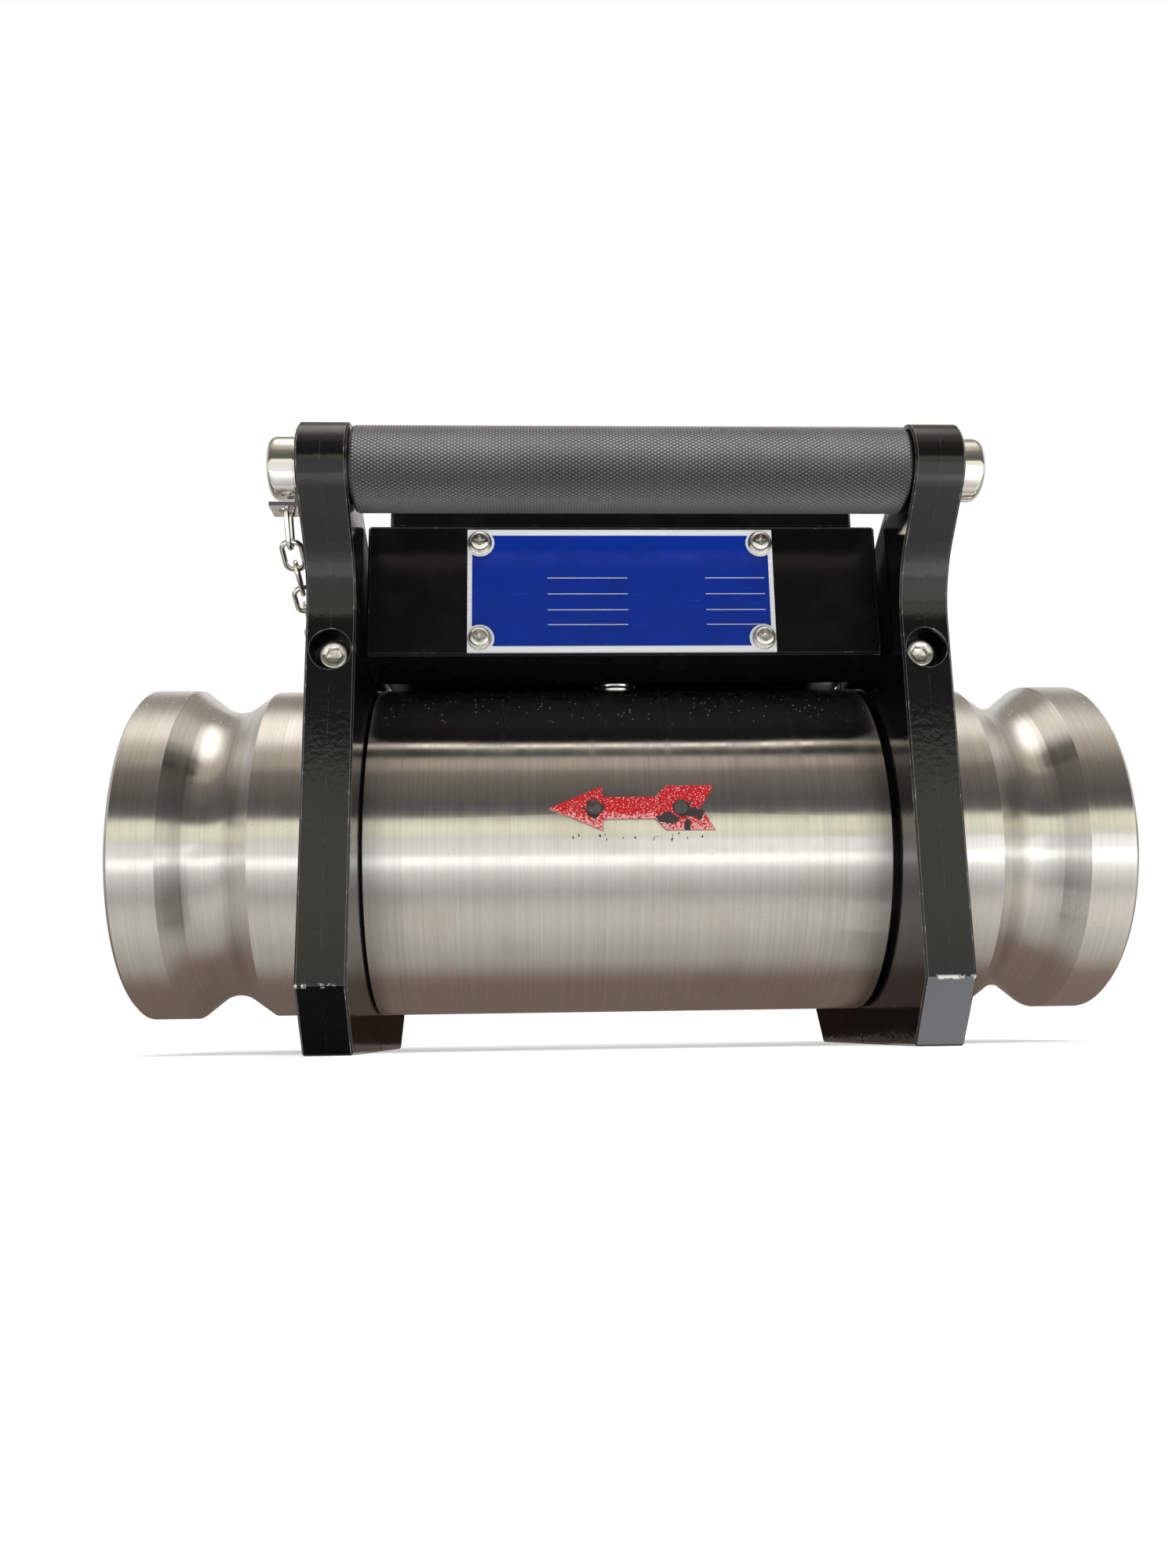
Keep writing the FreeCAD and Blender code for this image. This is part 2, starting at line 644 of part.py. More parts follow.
def make_bearing(label, side):
    start = S.rotor_half_length + S.end_float
    end = start + S.bearing_length
    bore = S.shaft_radius + S.bearing_play
    corners = [(start, bore), (start, S.bearing_radius), (end, S.bearing_radius), (end, bore)]
    name_node(turn(f"{label}_body", [(x * side, radius) for x, radius in corners]), label)


def make_circlip(label, side):
    """A snap ring with a gap, seated in the groove behind the vanes."""
    opening_degrees = 24
    start = S.measuring_half_length + S.vane_length + S.seat_play
    end = start + S.circlip_width
    outside = S.bore_radius + S.circlip_depth - S.seat_play
    inside = outside - S.circlip_height
    corners = [(start, inside), (start, outside), (end, outside), (end, inside)]
    sided = [(x * side, radius) for x, radius in corners]
    name_node(turn(f"{label}_body", sided, degrees=360 - opening_degrees), label)


def make_rotor():
    hub_bore = S.shaft_radius + S.seat_play
    chamfer = S.edge_break * 2
    corners = [
        (-S.rotor_half_length, hub_bore),
        (-S.rotor_half_length, S.hub_radius - chamfer),
        (-S.rotor_half_length + chamfer, S.hub_radius),
        (S.rotor_half_length - chamfer, S.hub_radius),
        (S.rotor_half_length, S.hub_radius - chamfer),
        (S.rotor_half_length, hub_bore),
    ]
    body = turn("rotor_body", corners)
    turns_per_length = S.blade_half_length * (2 * math.pi) / S.blade_lead
    tip_radius = S.measuring_radius - S.tip_clearance
    tip_sweep = tip_radius * turns_per_length + S.blade_half_thickness
    tip_height = root(tip_radius * tip_radius - tip_sweep * tip_sweep)
    root_height = S.hub_radius - S.bearing_radius / 2
    sections = [blade_section(body, height, turns_per_length) for height in (root_height, tip_height)]
    blade = body.newObject("PartDesign::AdditiveLoft", "rotor_blade")
    blade.Profile = sections[0]
    blade.Sections = sections[1:]
    blade.Ruled = True
    repeat_round(body, blade, S.blade_count)
    name_node(body, "rotor")
    shaft_half = S.rotor_half_length + S.bearing_length
    shaft = cylinder("shaft", S.shaft_radius, shaft_half * 2, (-shaft_half, 0, 0), ALONG_X)
    name_node(shaft, "rotor_shaft")


def blade_section(body, height, turns_per_length):
    """A slanted slice of a blade at one distance from the axis."""
    sketch = new_sketch(body, "XY_Plane", height)
    sweep = height * turns_per_length
    half = S.blade_half_length
    draw(sketch, [
        (-half, -sweep - S.blade_half_thickness),
        (half, sweep - S.blade_half_thickness),
        (half, sweep + S.blade_half_thickness),
        (-half, -sweep + S.blade_half_thickness),
    ])
    return sketch


# Pickup: the boss on the tube, the coil inside it and the lock nut that holds the housing down

def make_pickup():
    neck_top = BOSS_TOP + S.boss_neck_length
    boss = join("boss_solid", [
        cylinder("boss_foot", S.boss_radius, BOSS_TOP - BOSS_SEAT, (0, 0, BOSS_SEAT)),
        cylinder("boss_neck", S.boss_neck_radius, neck_top - BOSS_SEAT, (0, 0, BOSS_SEAT)),
    ])
    boss_bore = cylinder("boss_bore", S.pickup_radius + S.seat_play, neck_top - BOSS_SEAT,
                         (0, 0, BOSS_SEAT))
    name_node(cut("pickup_boss", boss, [boss_bore]), "pickup_boss")
    coil_bottom = PICKUP_BOTTOM + S.seat_play
    coil = cylinder("pickup_coil", S.pickup_radius, neck_top - coil_bottom, (0, 0, coil_bottom))
    head = cylinder("pickup_cap", S.boss_neck_radius - S.edge_break, S.pickup_head, (0, 0, neck_top))
    name_node(join("pickup_sensor", [coil, head]), "pickup_sensor")
    nut = prism("nut_blank", S.nut_corner_radius, S.nut_height, (0, 0, FLOOR))
    nut_bore = cylinder("nut_bore", S.boss_neck_radius + S.seat_play, S.nut_height, (0, 0, FLOOR))
    name_node(cut("pickup_locknut", nut, [nut_bore]), "pickup_locknut")


# Clamp plates: each is split into a front and a rear half, drawn as (y, z)

def front_outline():
    """Outline of a front half with its round head and hollow throat, and the arcs in it."""
    front = -S.plate_reach
    base = -S.base_drop
    head_y = -S.handle_y
    throat_z = (head_y + S.handle_z - S.head_radius * ROOT_TWO - front
                + S.throat_radius - S.throat_radius * ROOT_TWO)
    throat_y = front - S.throat_radius
    lean = S.throat_radius / ROOT_TWO
    rise = S.plate_top + S.plate_slope * S.handle_y - S.handle_z
    tilt_square = S.plate_slope * S.plate_slope + 1
    inside = (S.plate_slope * S.plate_slope * rise * rise
              - tilt_square * (rise * rise - S.head_radius * S.head_radius))
    back = (S.plate_slope * rise + root(inside)) / tilt_square
    back_y = head_y + back
    split = -S.split_gap / 2
    corners = [
        (split, base),
        (split, S.plate_top - S.plate_slope * split),
        (back_y, S.plate_top - S.plate_slope * back_y),
        (head_y - S.head_radius / ROOT_TWO, S.handle_z - S.head_radius / ROOT_TWO),
        (throat_y + lean, throat_z + lean),
        (front, throat_z),
        (front, base + S.toe_rise),
        (front + S.toe_run, base),
    ]
    arcs = {
        2: (head_y, S.handle_z, S.head_radius, True),
        4: (throat_y, throat_z, S.throat_radius, False),
    }
    return corners, arcs


def rear_outline():
    base = -S.base_drop
    split = S.split_gap / 2
    corners = [
        (split, base),
        (S.plate_reach - S.toe_run, base),
        (S.plate_reach, base + S.toe_rise),
        (S.plate_reach, S.plate_top - S.plate_slope * S.plate_reach),
        (split, S.plate_top - S.plate_slope * split),
    ]
    return corners, {}


def plate_half(name, inner_face, side, outline):
    """Pad an outline outwards from a plate's inner face and chamfer its rims."""
    body = new_body(name)
    low_face = inner_face if side > 0 else inner_face - S.plate_thickness
    sketch = new_sketch(body, "YZ_Plane", low_face)
    draw(sketch, *outline)
    slab = pad(body, sketch, S.plate_thickness)
    DOC.recompute()
    flat = [f"Face{index}" for index, face in enumerate(slab.Shape.Faces, start=1)
            if abs(face.normalAt(0, 0).x) > 0.99]
    chamfer = body.newObject("PartDesign::Chamfer", f"{name}_rim")
    chamfer.Base = (slab, flat)
    bind(chamfer, "Size", S.plate_edge)
    body.Tip = chamfer
    return body


def make_plates():
    for side_name, inner_face, side in (("left", LEFT_FACE, -1), ("right", RIGHT_FACE, 1)):
        low_face = inner_face if side > 0 else inner_face - S.plate_thickness
        middle = inner_face + S.plate_thickness * (side / 2)
        neck = cylinder(f"{side_name}_neck_bore", S.neck_radius + S.seat_play, S.plate_thickness,
                        (low_face, 0, 0), ALONG_X)
        handle_hole = cylinder(f"{side_name}_handle_hole", S.cap_shank_radius + S.seat_play,
                               S.plate_thickness, (low_face, -S.handle_y, S.handle_z), ALONG_X)
        upper = screw_cutters(f"{side_name}_upper", middle, S.clamp_screw_z, -1)
        lower = screw_cutters(f"{side_name}_lower", middle, -S.lower_screw_z, 1)
        front = plate_half(f"{side_name}_front_slab", inner_face, side, front_outline())
        rear = plate_half(f"{side_name}_rear_slab", inner_face, side, rear_outline())
        name_node(cut(f"{side_name}_plate_front", front, [neck, handle_hole] + upper + lower),
                  f"{side_name}_plate_front")
        name_node(cut(f"{side_name}_plate_rear", rear, [neck] + upper + lower), f"{side_name}_plate_rear")


def screw_seat(facing):
    """Y of the face that a clamp screw's head bears on; facing is -1 for a screw put in from the front."""
    return (S.plate_reach - S.counterbore_depth) * facing


def screw_cutters(name, x, z, facing):
    """The counterbore and the hole of one clamp screw."""
    length = S.plate_reach - S.counterbore_depth + S.clamp_thread
    seat = screw_seat(facing)
    hole_start = seat if facing < 0 else seat - length
    bore_start = seat - S.plate_reach if facing < 0 else seat
    return [
        cylinder(f"{name}_hole", S.clamp_screw_radius + S.seat_play, length, (x, hole_start, z), ALONG_Y),
        cylinder(f"{name}_counterbore", S.counterbore_radius, S.plate_reach, (x, bore_start, z), ALONG_Y),
    ]


def clamp_screw(name, x, z, facing):
    """A socket head screw across the split of a plate."""
    length = S.plate_reach - S.counterbore_depth + S.clamp_thread
    seat = screw_seat(facing)
    head_start = seat - S.clamp_head_height if facing < 0 else seat
    shank_start = seat if facing < 0 else seat - length
    socket_start = head_start if facing < 0 else seat + S.clamp_head_height - S.clamp_socket_depth
    head = cylinder(f"{name}_head", S.clamp_head_radius, S.clamp_head_height, (x, head_start, z), ALONG_Y)
    shank = cylinder(f"{name}_shank", S.clamp_screw_radius, length, (x, shank_start, z), ALONG_Y)
    socket = prism(f"{name}_socket", S.clamp_socket, S.clamp_socket_depth, (x, socket_start, z), ALONG_Y)
    return cut(name, join(f"{name}_solid", [head, shank]), [socket])


def make_clamp_screws():
    middles = (LEFT_FACE - S.plate_thickness / 2, RIGHT_FACE + S.plate_thickness / 2)
    for label, z, facing in (("upper", S.clamp_screw_z, -1), ("lower", -S.lower_screw_z, 1)):
        screws = [clamp_screw(f"{label}_screw_{index}", x, z, facing) for index, x in enumerate(middles)]
        name_node(group(f"{label}_clamp_screws", screws), f"{label}_clamp_screws")


# Carrying handle: the bar between the plates and the polished bolts that hold it

def make_handle():
    at_y = -S.handle_y
    thread_hole = S.cap_thread + S.hole_spare
    span = RIGHT_FACE - LEFT_FACE
    bar = join("bar_solid", [
        cylinder("bar_core", S.bar_end_radius, span, (LEFT_FACE, at_y, S.handle_z), ALONG_X),
        cylinder("bar_grip", S.bar_radius, span - S.bar_relief * 2,
                 (LEFT_FACE + S.bar_relief, at_y, S.handle_z), ALONG_X),
    ])
    holes = [
        cylinder("bar_left_hole", S.cap_shank_radius + S.seat_play, thread_hole,
                 (LEFT_FACE, at_y, S.handle_z), ALONG_X),
        cylinder("bar_right_hole", S.cap_shank_radius + S.seat_play, thread_hole,
                 (RIGHT_FACE - thread_hole, at_y, S.handle_z), ALONG_X),
    ]
    name_node(cut("handle_bar", bar, holes), "handle_bar")
    make_handle_cap("left_handle_cap", LEFT_FACE - S.plate_thickness - S.eyelet_thickness, LEFT_FACE, -1)
    make_handle_cap("right_handle_cap", RIGHT_FACE + S.plate_thickness, RIGHT_FACE, 1)


def make_handle_cap(label, seat, plate_face, side):
    """A bolt with a smooth round head; its shank runs through the plate into the bar."""
    crown = seat + S.cap_height * side
    shank_end = plate_face - S.cap_thread * side
    corners = [
        (shank_end, 0),
        (shank_end, S.cap_shank_radius),
        (seat, S.cap_shank_radius),
        (seat, S.cap_radius),
        (crown - S.cap_round * side, S.cap_radius),
        (crown, S.cap_radius - S.cap_round),
        (crown, 0),
    ]
    rounding = (crown - S.cap_round * side, S.cap_radius - S.cap_round, S.cap_round, side < 0)
    body = turn(f"{label}_body", corners, {4: rounding})
    place(body, 0, -S.handle_y, S.handle_z)
    name_node(body, label)


# Chain on the left handle bolt

def chain_x():
    return LEFT_FACE - S.plate_thickness - S.eyelet_reach / 2


def make_chain_eyelet():
    outer_face = LEFT_FACE - S.plate_thickness
    at_y = -S.handle_y
    under = S.handle_z - S.eyelet_drop
    washer = cylinder("eyelet_washer", S.eyelet_radius, S.eyelet_thickness,
                      (outer_face - S.eyelet_thickness, at_y, S.handle_z), ALONG_X)
    tongue = block("eyelet_tongue", (outer_face - S.eyelet_thickness, at_y - S.eyelet_half_width, under),
                   (outer_face, at_y + S.eyelet_half_width, S.handle_z))
    tab = block("eyelet_tab", (outer_face - S.eyelet_reach, at_y - S.eyelet_half_width, under),
                (outer_face, at_y + S.eyelet_half_width, under + S.eyelet_thickness))
    bolt_hole = cylinder("eyelet_bolt_hole", S.cap_shank_radius + S.seat_play, S.eyelet_thickness,
                         (outer_face - S.eyelet_thickness, at_y, S.handle_z), ALONG_X)
    chain_hole = cylinder("eyelet_chain_hole", S.eyelet_hole, S.eyelet_thickness, (chain_x(), at_y, under))
    name_node(cut("chain_eyelet", join("eyelet_solid", [washer, tongue, tab]), [bolt_hole, chain_hole]),
              "chain_eyelet")


def wire_section(centre, outward, radius):
    """Eight-sided section of a wire; outward and Z span its plane."""
    corners = []
    for step in range(WIRE_SIDES + 1):
        angle = 2 * math.pi * (step + 0.5) / WIRE_SIDES
        corners.append(centre + outward * (radius * math.cos(angle)) + VECTOR(0, 0, radius * math.sin(angle)))
    return Part.Face(Part.makePolygon(corners))


def link_solid():
    """One oval link along X, flat in the XY plane."""
    wire = S.wire_radius.value
    bend = S.link_width.value / 2 - wire
    straight = S.link_length.value - S.link_width.value
    pieces = []
    for end in (-1, 1):
        bow_start = wire_section(VECTOR(end * straight / 2, -end * bend, 0), VECTOR(0, 1, 0), wire)
        leg_start = wire_section(VECTOR(-straight / 2, end * bend, 0), VECTOR(0, 1, 0), wire)
        pieces.append(bow_start.revolve(VECTOR(end * straight / 2, 0, 0), VECTOR(0, 0, 1), 180))
        pieces.append(leg_start.extrude(VECTOR(straight, 0, 0)))
    return pieces[0].fuse(pieces[1:]).removeSplitter()


def link_pitch():
    return (S.link_length - S.wire_radius * 4 - S.link_play).value


def first_link_ends():
    """Upper and lower bearing points of the first link, which leans back from the tab."""
    lean = math.radians(S.link_lean.value)
    down = VECTOR(0, math.sin(lean), -math.cos(lean))
    tab_top = S.handle_z - S.eyelet_drop + S.eyelet_thickness + S.link_play
    strip_middle = (S.eyelet_hole + S.eyelet_half_width) / 2 - S.handle_y
    bow_radius = (S.link_width / 2 - S.wire_radius * 2).value
    upper = VECTOR(chain_x().value, strip_middle.value - down.y * bow_radius, tab_top.value)
    lower = upper + down * (link_pitch() - S.link_play.value * 3)
    return upper, lower


def ring_frame(turn):
    """Middle of the end ring, and the directions in its plane that run up to the plate and round the pipe.

    The ring stands on the collar and leans on the plate. turn is its angle round the pipe, from straight up
    towards the back.
    """
    lean = math.radians(S.ring_lean.value)
    middle = (S.ring_radius - S.ring_wire).value
    up = VECTOR(0, math.sin(turn), math.cos(turn))
    back = VECTOR(0, math.cos(turn), -math.sin(turn))
    leaning = VECTOR(math.cos(lean), 0, 0) + up * math.sin(lean)
    height = (S.collar_radius + S.ring_wire + S.loose_play).value + middle * math.sin(lean)
    plate_side = (LEFT_FACE - S.plate_thickness - S.ring_wire - S.loose_play).value
    centre = VECTOR(plate_side - middle * math.cos(lean), 0, 0) + up * height
    return centre, leaning, back


def chain_end(turn):
    """Where the last link bears on the end ring."""
    centre, leaning, back = ring_frame(turn)
    return centre - back * (S.ring_radius - S.ring_wire * 2 - S.link_play).value


def ring_turn():
    """Angle round the pipe at which the chain just reaches its ring."""
    start = first_link_ends()[1]
    reach = (int(S.link_count.value) - 1) * link_pitch() - S.chain_slack.value
    low, high = -math.pi / 3, math.pi / 3
    for _ in range(40):
        middle = (low + high) / 2
        if start.distanceToPoint(chain_end(middle)) < reach:
            low = middle
        else:
            high = middle
    return low


def slack_curve(start, end, length):
    """A curve of a given length that sags between two points."""
    curve = Part.BezierCurve()
    low, high = 0.0, length
    for _ in range(40):
        sag = (low + high) / 2
        curve.setPoles([start, (start + end) / 2 - VECTOR(0, 0, sag), end])
        if curve.length() < length:
            low = sag
        else:
            high = sag
    return curve


def chain_joints():
    """Points where one link bears on the next, from the tab down one link and back over to the end ring."""
    upper, lower = first_link_ends()
    spans = int(S.link_count.value) - 1
    drape = slack_curve(lower, chain_end(ring_turn()), spans * link_pitch())
    return [upper] + drape.discretize(Number=spans + 1)


def make_chain():
    axis = VECTOR(0, AXIS_Y.value, AXIS_Z.value)
    joints = chain_joints()
    spans = len(joints) - 1
    links = []
    for index in range(spans):
        along = joints[index + 1] - joints[index]
        roll = 90 * (index % 2) - S.ring_lean.value * index / (spans - 1)
        aim = FreeCAD.Rotation(along, VECTOR(), VECTOR(1, 0, 0), "XZY")
        spin = FreeCAD.Rotation(VECTOR(1, 0, 0), roll)
        middle = (joints[index] + joints[index + 1]) / 2 + axis
        link = link_solid()
        link.Placement = FreeCAD.Placement(middle, aim.multiply(spin))
        links.append(link)
    chain = DOC.addObject("Part::Feature", "tether_chain")
    chain.Shape = Part.makeCompound(links)
    name_node(chain, "tether_chain")


def make_chain_ring():
    """A ring through the last link, propped between the collar and the plate."""
    axis = VECTOR(0, AXIS_Y.value, AXIS_Z.value)
    centre, leaning, back = ring_frame(ring_turn())
    middle = (S.ring_radius - S.ring_wire).value
    section = wire_section(VECTOR(middle, 0, 0), VECTOR(1, 0, 0), S.ring_wire.value)
    ring = section.revolve(VECTOR(), VECTOR(0, 0, 1), 360)
    ring.Placement = FreeCAD.Placement(centre + axis, FreeCAD.Rotation(leaning, back, VECTOR(), "XYZ"))
    piece = DOC.addObject("Part::Feature", "chain_ring")
    piece.Shape = ring
    name_node(piece, "chain_ring")


# Instrument housing on the boss, with its cover

def corners_at(half_x, half_y):
    return [(half_x * sx, half_y * sy) for sx in (-1, 1) for sy in (-1, 1)]


def cover_screw_places():
    return corners_at(COVER_HALF_X - S.cover_screw_inset, COVER_HALF_Y - S.cover_screw_inset)


def label_screw_places():
    offsets = corners_at(S.label_screw_dx / 2, S.label_screw_dz / 2)
    return [(S.label_x + dx, LABEL_Z + dz) for dx, dz in offsets]


def make_housing():
    outside = soften("housing_block", block(
        "housing_blank", (-HOUSING_HALF, -S.housing_reach, HOUSING_BOTTOM),
        (HOUSING_HALF, S.housing_reach, HOUSING_TOP)), S.housing_edge)
    cavity = block("housing_cavity", (-CAVITY_HALF_X, -CAVITY_HALF_Y, FLOOR),
                   (CAVITY_HALF_X, CAVITY_HALF_Y, HOUSING_TOP))
    saddle = cylinder("housing_saddle", S.tube_radius + S.saddle_gap, HOUSING_HALF * 2,
                      (-HOUSING_HALF, 0, 0), ALONG_X)
    hollow = cut("housing_hollow", outside, [cavity, saddle])
    posts = [cylinder(f"housing_post_{index}", S.post_radius, HOUSING_TOP - FLOOR, (x, y, FLOOR))
             for index, (x, y) in enumerate(cover_screw_places())]
    post_holes = [cylinder(f"post_hole_{index}", S.cover_screw_radius + S.seat_play,
                           S.cover_thread + S.hole_spare,
                           (x, y, HOUSING_TOP - S.cover_thread - S.hole_spare))
                  for index, (x, y) in enumerate(cover_screw_places())]
    label_holes = [cylinder(f"label_hole_{index}", S.label_screw_radius + S.seat_play,
                            S.label_screw_length + S.hole_spare, (x, -S.housing_reach, z), ALONG_Y)
                   for index, (x, z) in enumerate(label_screw_places())]
    neck_hole = cylinder("housing_neck_hole", S.boss_neck_radius + S.seat_play, S.housing_height,
                         (0, 0, HOUSING_BOTTOM))
    boss_seat = cylinder("housing_boss_seat", S.boss_radius + S.seat_play, BOSS_TOP - HOUSING_BOTTOM,
                         (0, 0, HOUSING_BOTTOM))
    solid = join("housing_solid", [hollow] + posts)
    name_node(cut("instrument_housing", solid, post_holes + label_holes + [neck_hole, boss_seat]),
              "instrument_housing")


def make_gasket():
    half_x = COVER_HALF_X - S.gasket_margin
    half_y = COVER_HALF_Y - S.gasket_margin
    sheet = block("gasket_sheet", (-half_x, -half_y, HOUSING_TOP), (half_x, half_y, COVER_BOTTOM))
    window = block("gasket_window", (-half_x + S.gasket_width, -half_y + S.gasket_width, HOUSING_TOP),
                   (half_x - S.gasket_width, half_y - S.gasket_width, COVER_BOTTOM))
    holes = [cylinder(f"gasket_hole_{index}", S.cover_screw_radius + S.loose_play, S.gasket_height,
                      (x, y, HOUSING_TOP))
             for index, (x, y) in enumerate(cover_screw_places())]
    name_node(cut("cover_gasket", sheet, [window] + holes), "cover_gasket")


def button_places():
    return {"left_button": -S.button_spacing, "middle_button": 0, "right_button": S.button_spacing}


def make_cover():
    plate = soften("cover_block", block("cover_blank", (-COVER_HALF_X, -COVER_HALF_Y, COVER_BOTTOM),
                                        (COVER_HALF_X, COVER_HALF_Y, COVER_TOP)), S.housing_edge)
    pane_bottom = COVER_TOP - S.window_thickness
    play = S.seat_play
    recess_x = WINDOW_HALF_X + play
    recess = block("window_recess", (-recess_x, WINDOW_FRONT - play, pane_bottom),
                   (recess_x, WINDOW_BACK + play, COVER_TOP))
    half_x = WINDOW_HALF_X - S.window_ledge
    opening = block("window_opening", (-half_x, WINDOW_FRONT + S.window_ledge, COVER_BOTTOM),
                    (half_x, WINDOW_BACK - S.window_ledge, COVER_TOP))
    button_holes = [cylinder(f"{label}_hole", S.button_radius + S.button_play, S.cover_height,
                             (x, BUTTON_Y, COVER_BOTTOM)) for label, x in button_places().items()]
    screw_holes = []
    for index, (x, y) in enumerate(cover_screw_places()):
        screw_holes.append(cylinder(f"cover_hole_{index}", S.cover_screw_radius + S.seat_play,
                                    S.cover_height, (x, y, COVER_BOTTOM)))
        screw_holes.append(cylinder(f"cover_counterbore_{index}", S.cover_head_radius + S.loose_play,
                                    S.cover_head_height + S.cover_sink,
                                    (x, y, COVER_TOP - S.cover_head_height - S.cover_sink)))
    name_node(cut("top_cover", plate, [recess, opening] + button_holes + screw_holes), "top_cover")
    pane = block("display_window", (-WINDOW_HALF_X, WINDOW_FRONT, pane_bottom),
                 (WINDOW_HALF_X, WINDOW_BACK, COVER_TOP - S.cover_sink))
    name_node(pane, "display_window")


def make_cover_screws():
    screws = []
    seat = COVER_TOP - S.cover_head_height - S.cover_sink
    for index, (x, y) in enumerate(cover_screw_places()):
        head = cylinder(f"cover_screw_head_{index}", S.cover_head_radius, S.cover_head_height, (x, y, seat))
        end = HOUSING_TOP - S.cover_thread
        shank = cylinder(f"cover_screw_shank_{index}", S.cover_screw_radius, seat - end, (x, y, end))
        socket = prism(f"cover_screw_socket_{index}", S.clamp_socket, S.clamp_socket_depth,
                       (x, y, seat + S.cover_head_height - S.clamp_socket_depth))
        solid = join(f"cover_screw_solid_{index}", [head, shank])
        screws.append(cut(f"cover_screw_{index}", solid, [socket]))
    name_node(group("cover_screws", screws), "cover_screws")


def flange_top():
    """Top of a button's flange, just under the cover."""
    return COVER_BOTTOM - S.button_play / 3


def make_buttons():
    for label, x in button_places().items():
        top = flange_top()
        stem = cylinder(f"{label}_stem", S.button_radius, COVER_TOP + S.button_rise - top,
                        (x, BUTTON_Y, top))
        flange = cylinder(f"{label}_flange", S.button_radius + S.button_flange, S.button_flange,
                          (x, BUTTON_Y, top - S.button_flange))
        name_node(join(label, [stem, flange]), label)


# Electronics inside the housing

def standoff_places():
    return corners_at(BOARD_HALF_X - S.standoff_inset, BOARD_HALF_Y - S.standoff_inset)


def make_electronics():
    board = block("board_sheet", (-BOARD_HALF_X, -BOARD_HALF_Y, BOARD_BOTTOM),
                  (BOARD_HALF_X, BOARD_HALF_Y, BOARD_TOP))
    board_holes = [cylinder(f"board_hole_{index}", S.board_screw_radius + S.seat_play, S.board_thickness,
                            (x, y, BOARD_BOTTOM)) for index, (x, y) in enumerate(standoff_places())]
    name_node(cut("circuit_board", board, board_holes), "circuit_board")
    standoffs = []
    screws = []
    for index, (x, y) in enumerate(standoff_places()):
        pillar = cylinder(f"standoff_pillar_{index}", S.standoff_radius, S.board_rise, (x, y, FLOOR))
        thread = cylinder(f"standoff_thread_{index}", S.board_screw_radius + S.seat_play,
                          S.board_screw_length + S.hole_spare,
                          (x, y, BOARD_BOTTOM - S.board_screw_length - S.hole_spare))
        standoffs.append(cut(f"standoff_{index}", pillar, [thread]))
        head = cylinder(f"board_screw_head_{index}", S.standoff_radius, S.board_screw_radius,
                        (x, y, BOARD_TOP))
        shank = cylinder(f"board_screw_shank_{index}", S.board_screw_radius,
                         S.board_screw_length + S.board_thickness,
                         (x, y, BOARD_BOTTOM - S.board_screw_length))
        screws.append(join(f"board_screw_{index}", [head, shank]))
    name_node(group("board_standoffs", standoffs), "board_standoffs")
    name_node(group("board_screws", screws), "board_screws")
    switch_top = flange_top() - S.button_flange - S.button_travel - S.switch_gap
    switches = [cylinder(f"switch_{label}", S.switch_radius, switch_top - BOARD_TOP,
                         (x, BUTTON_Y, BOARD_TOP)) for label, x in button_places().items()]
    name_node(group("key_switches", switches), "key_switches")
    battery = block("battery_pack", (-S.battery_half_x, S.nut_corner_radius + S.battery_gap, FLOOR),
                    (S.battery_half_x, CAVITY_HALF_Y - S.battery_margin, FLOOR + S.battery_height))
    name_node(battery, "battery_pack")
    make_display()


def make_display():
    """A display module that stands on the board and reaches up behind the window."""
    inset = S.window_ledge + S.display_gap
    face = COVER_TOP - S.window_thickness - S.display_gap
    frame = block("display_frame", (-WINDOW_HALF_X, WINDOW_FRONT, BOARD_TOP),
                  (WINDOW_HALF_X, WINDOW_BACK, COVER_BOTTOM - S.display_gap))
    glass = block("display_face", (inset - WINDOW_HALF_X, WINDOW_FRONT + inset, BOARD_TOP),
                  (WINDOW_HALF_X - inset, WINDOW_BACK - inset, face))
    name_node(join("display_panel", [frame, glass]), "display_panel")


# Nameplate on the front of the housing

def make_nameplate():
    front = -S.housing_reach - S.label_thickness
    plate = block("label_sheet", (S.label_x - S.label_width / 2, front, LABEL_Z - S.label_height / 2),
                  (S.label_x + S.label_width / 2, -S.housing_reach, LABEL_Z + S.label_height / 2))
    holes = []
    screws = []
    washers = []
    washer_face = front - S.washer_thickness
    for index, (x, z) in enumerate(label_screw_places()):
        holes.append(cylinder(f"label_plate_hole_{index}", S.label_screw_radius + S.seat_play,
                              S.label_thickness, (x, front, z), ALONG_Y))
        head = cylinder(f"label_screw_head_{index}", S.label_head_radius, S.label_head_height,
                        (x, washer_face - S.label_head_height, z), ALONG_Y)
        shank = cylinder(f"label_screw_shank_{index}", S.label_screw_radius,
                         S.washer_thickness + S.label_thickness + S.label_screw_length,
                         (x, washer_face, z), ALONG_Y)
        screws.append(join(f"label_screw_{index}", [head, shank]))
        disc = cylinder(f"washer_disc_{index}", S.washer_radius, S.washer_thickness,
                        (x, washer_face, z), ALONG_Y)
        eye = cylinder(f"washer_eye_{index}", S.label_screw_radius + S.seat_play, S.washer_thickness,
                       (x, washer_face, z), ALONG_Y)
        washers.append(cut(f"washer_{index}", disc, [eye]))
    name_node(cut("nameplate", plate, holes), "nameplate")
    name_node(group("nameplate_screws", screws), "nameplate_screws")
    name_node(group("nameplate_washers", washers), "nameplate_washers")


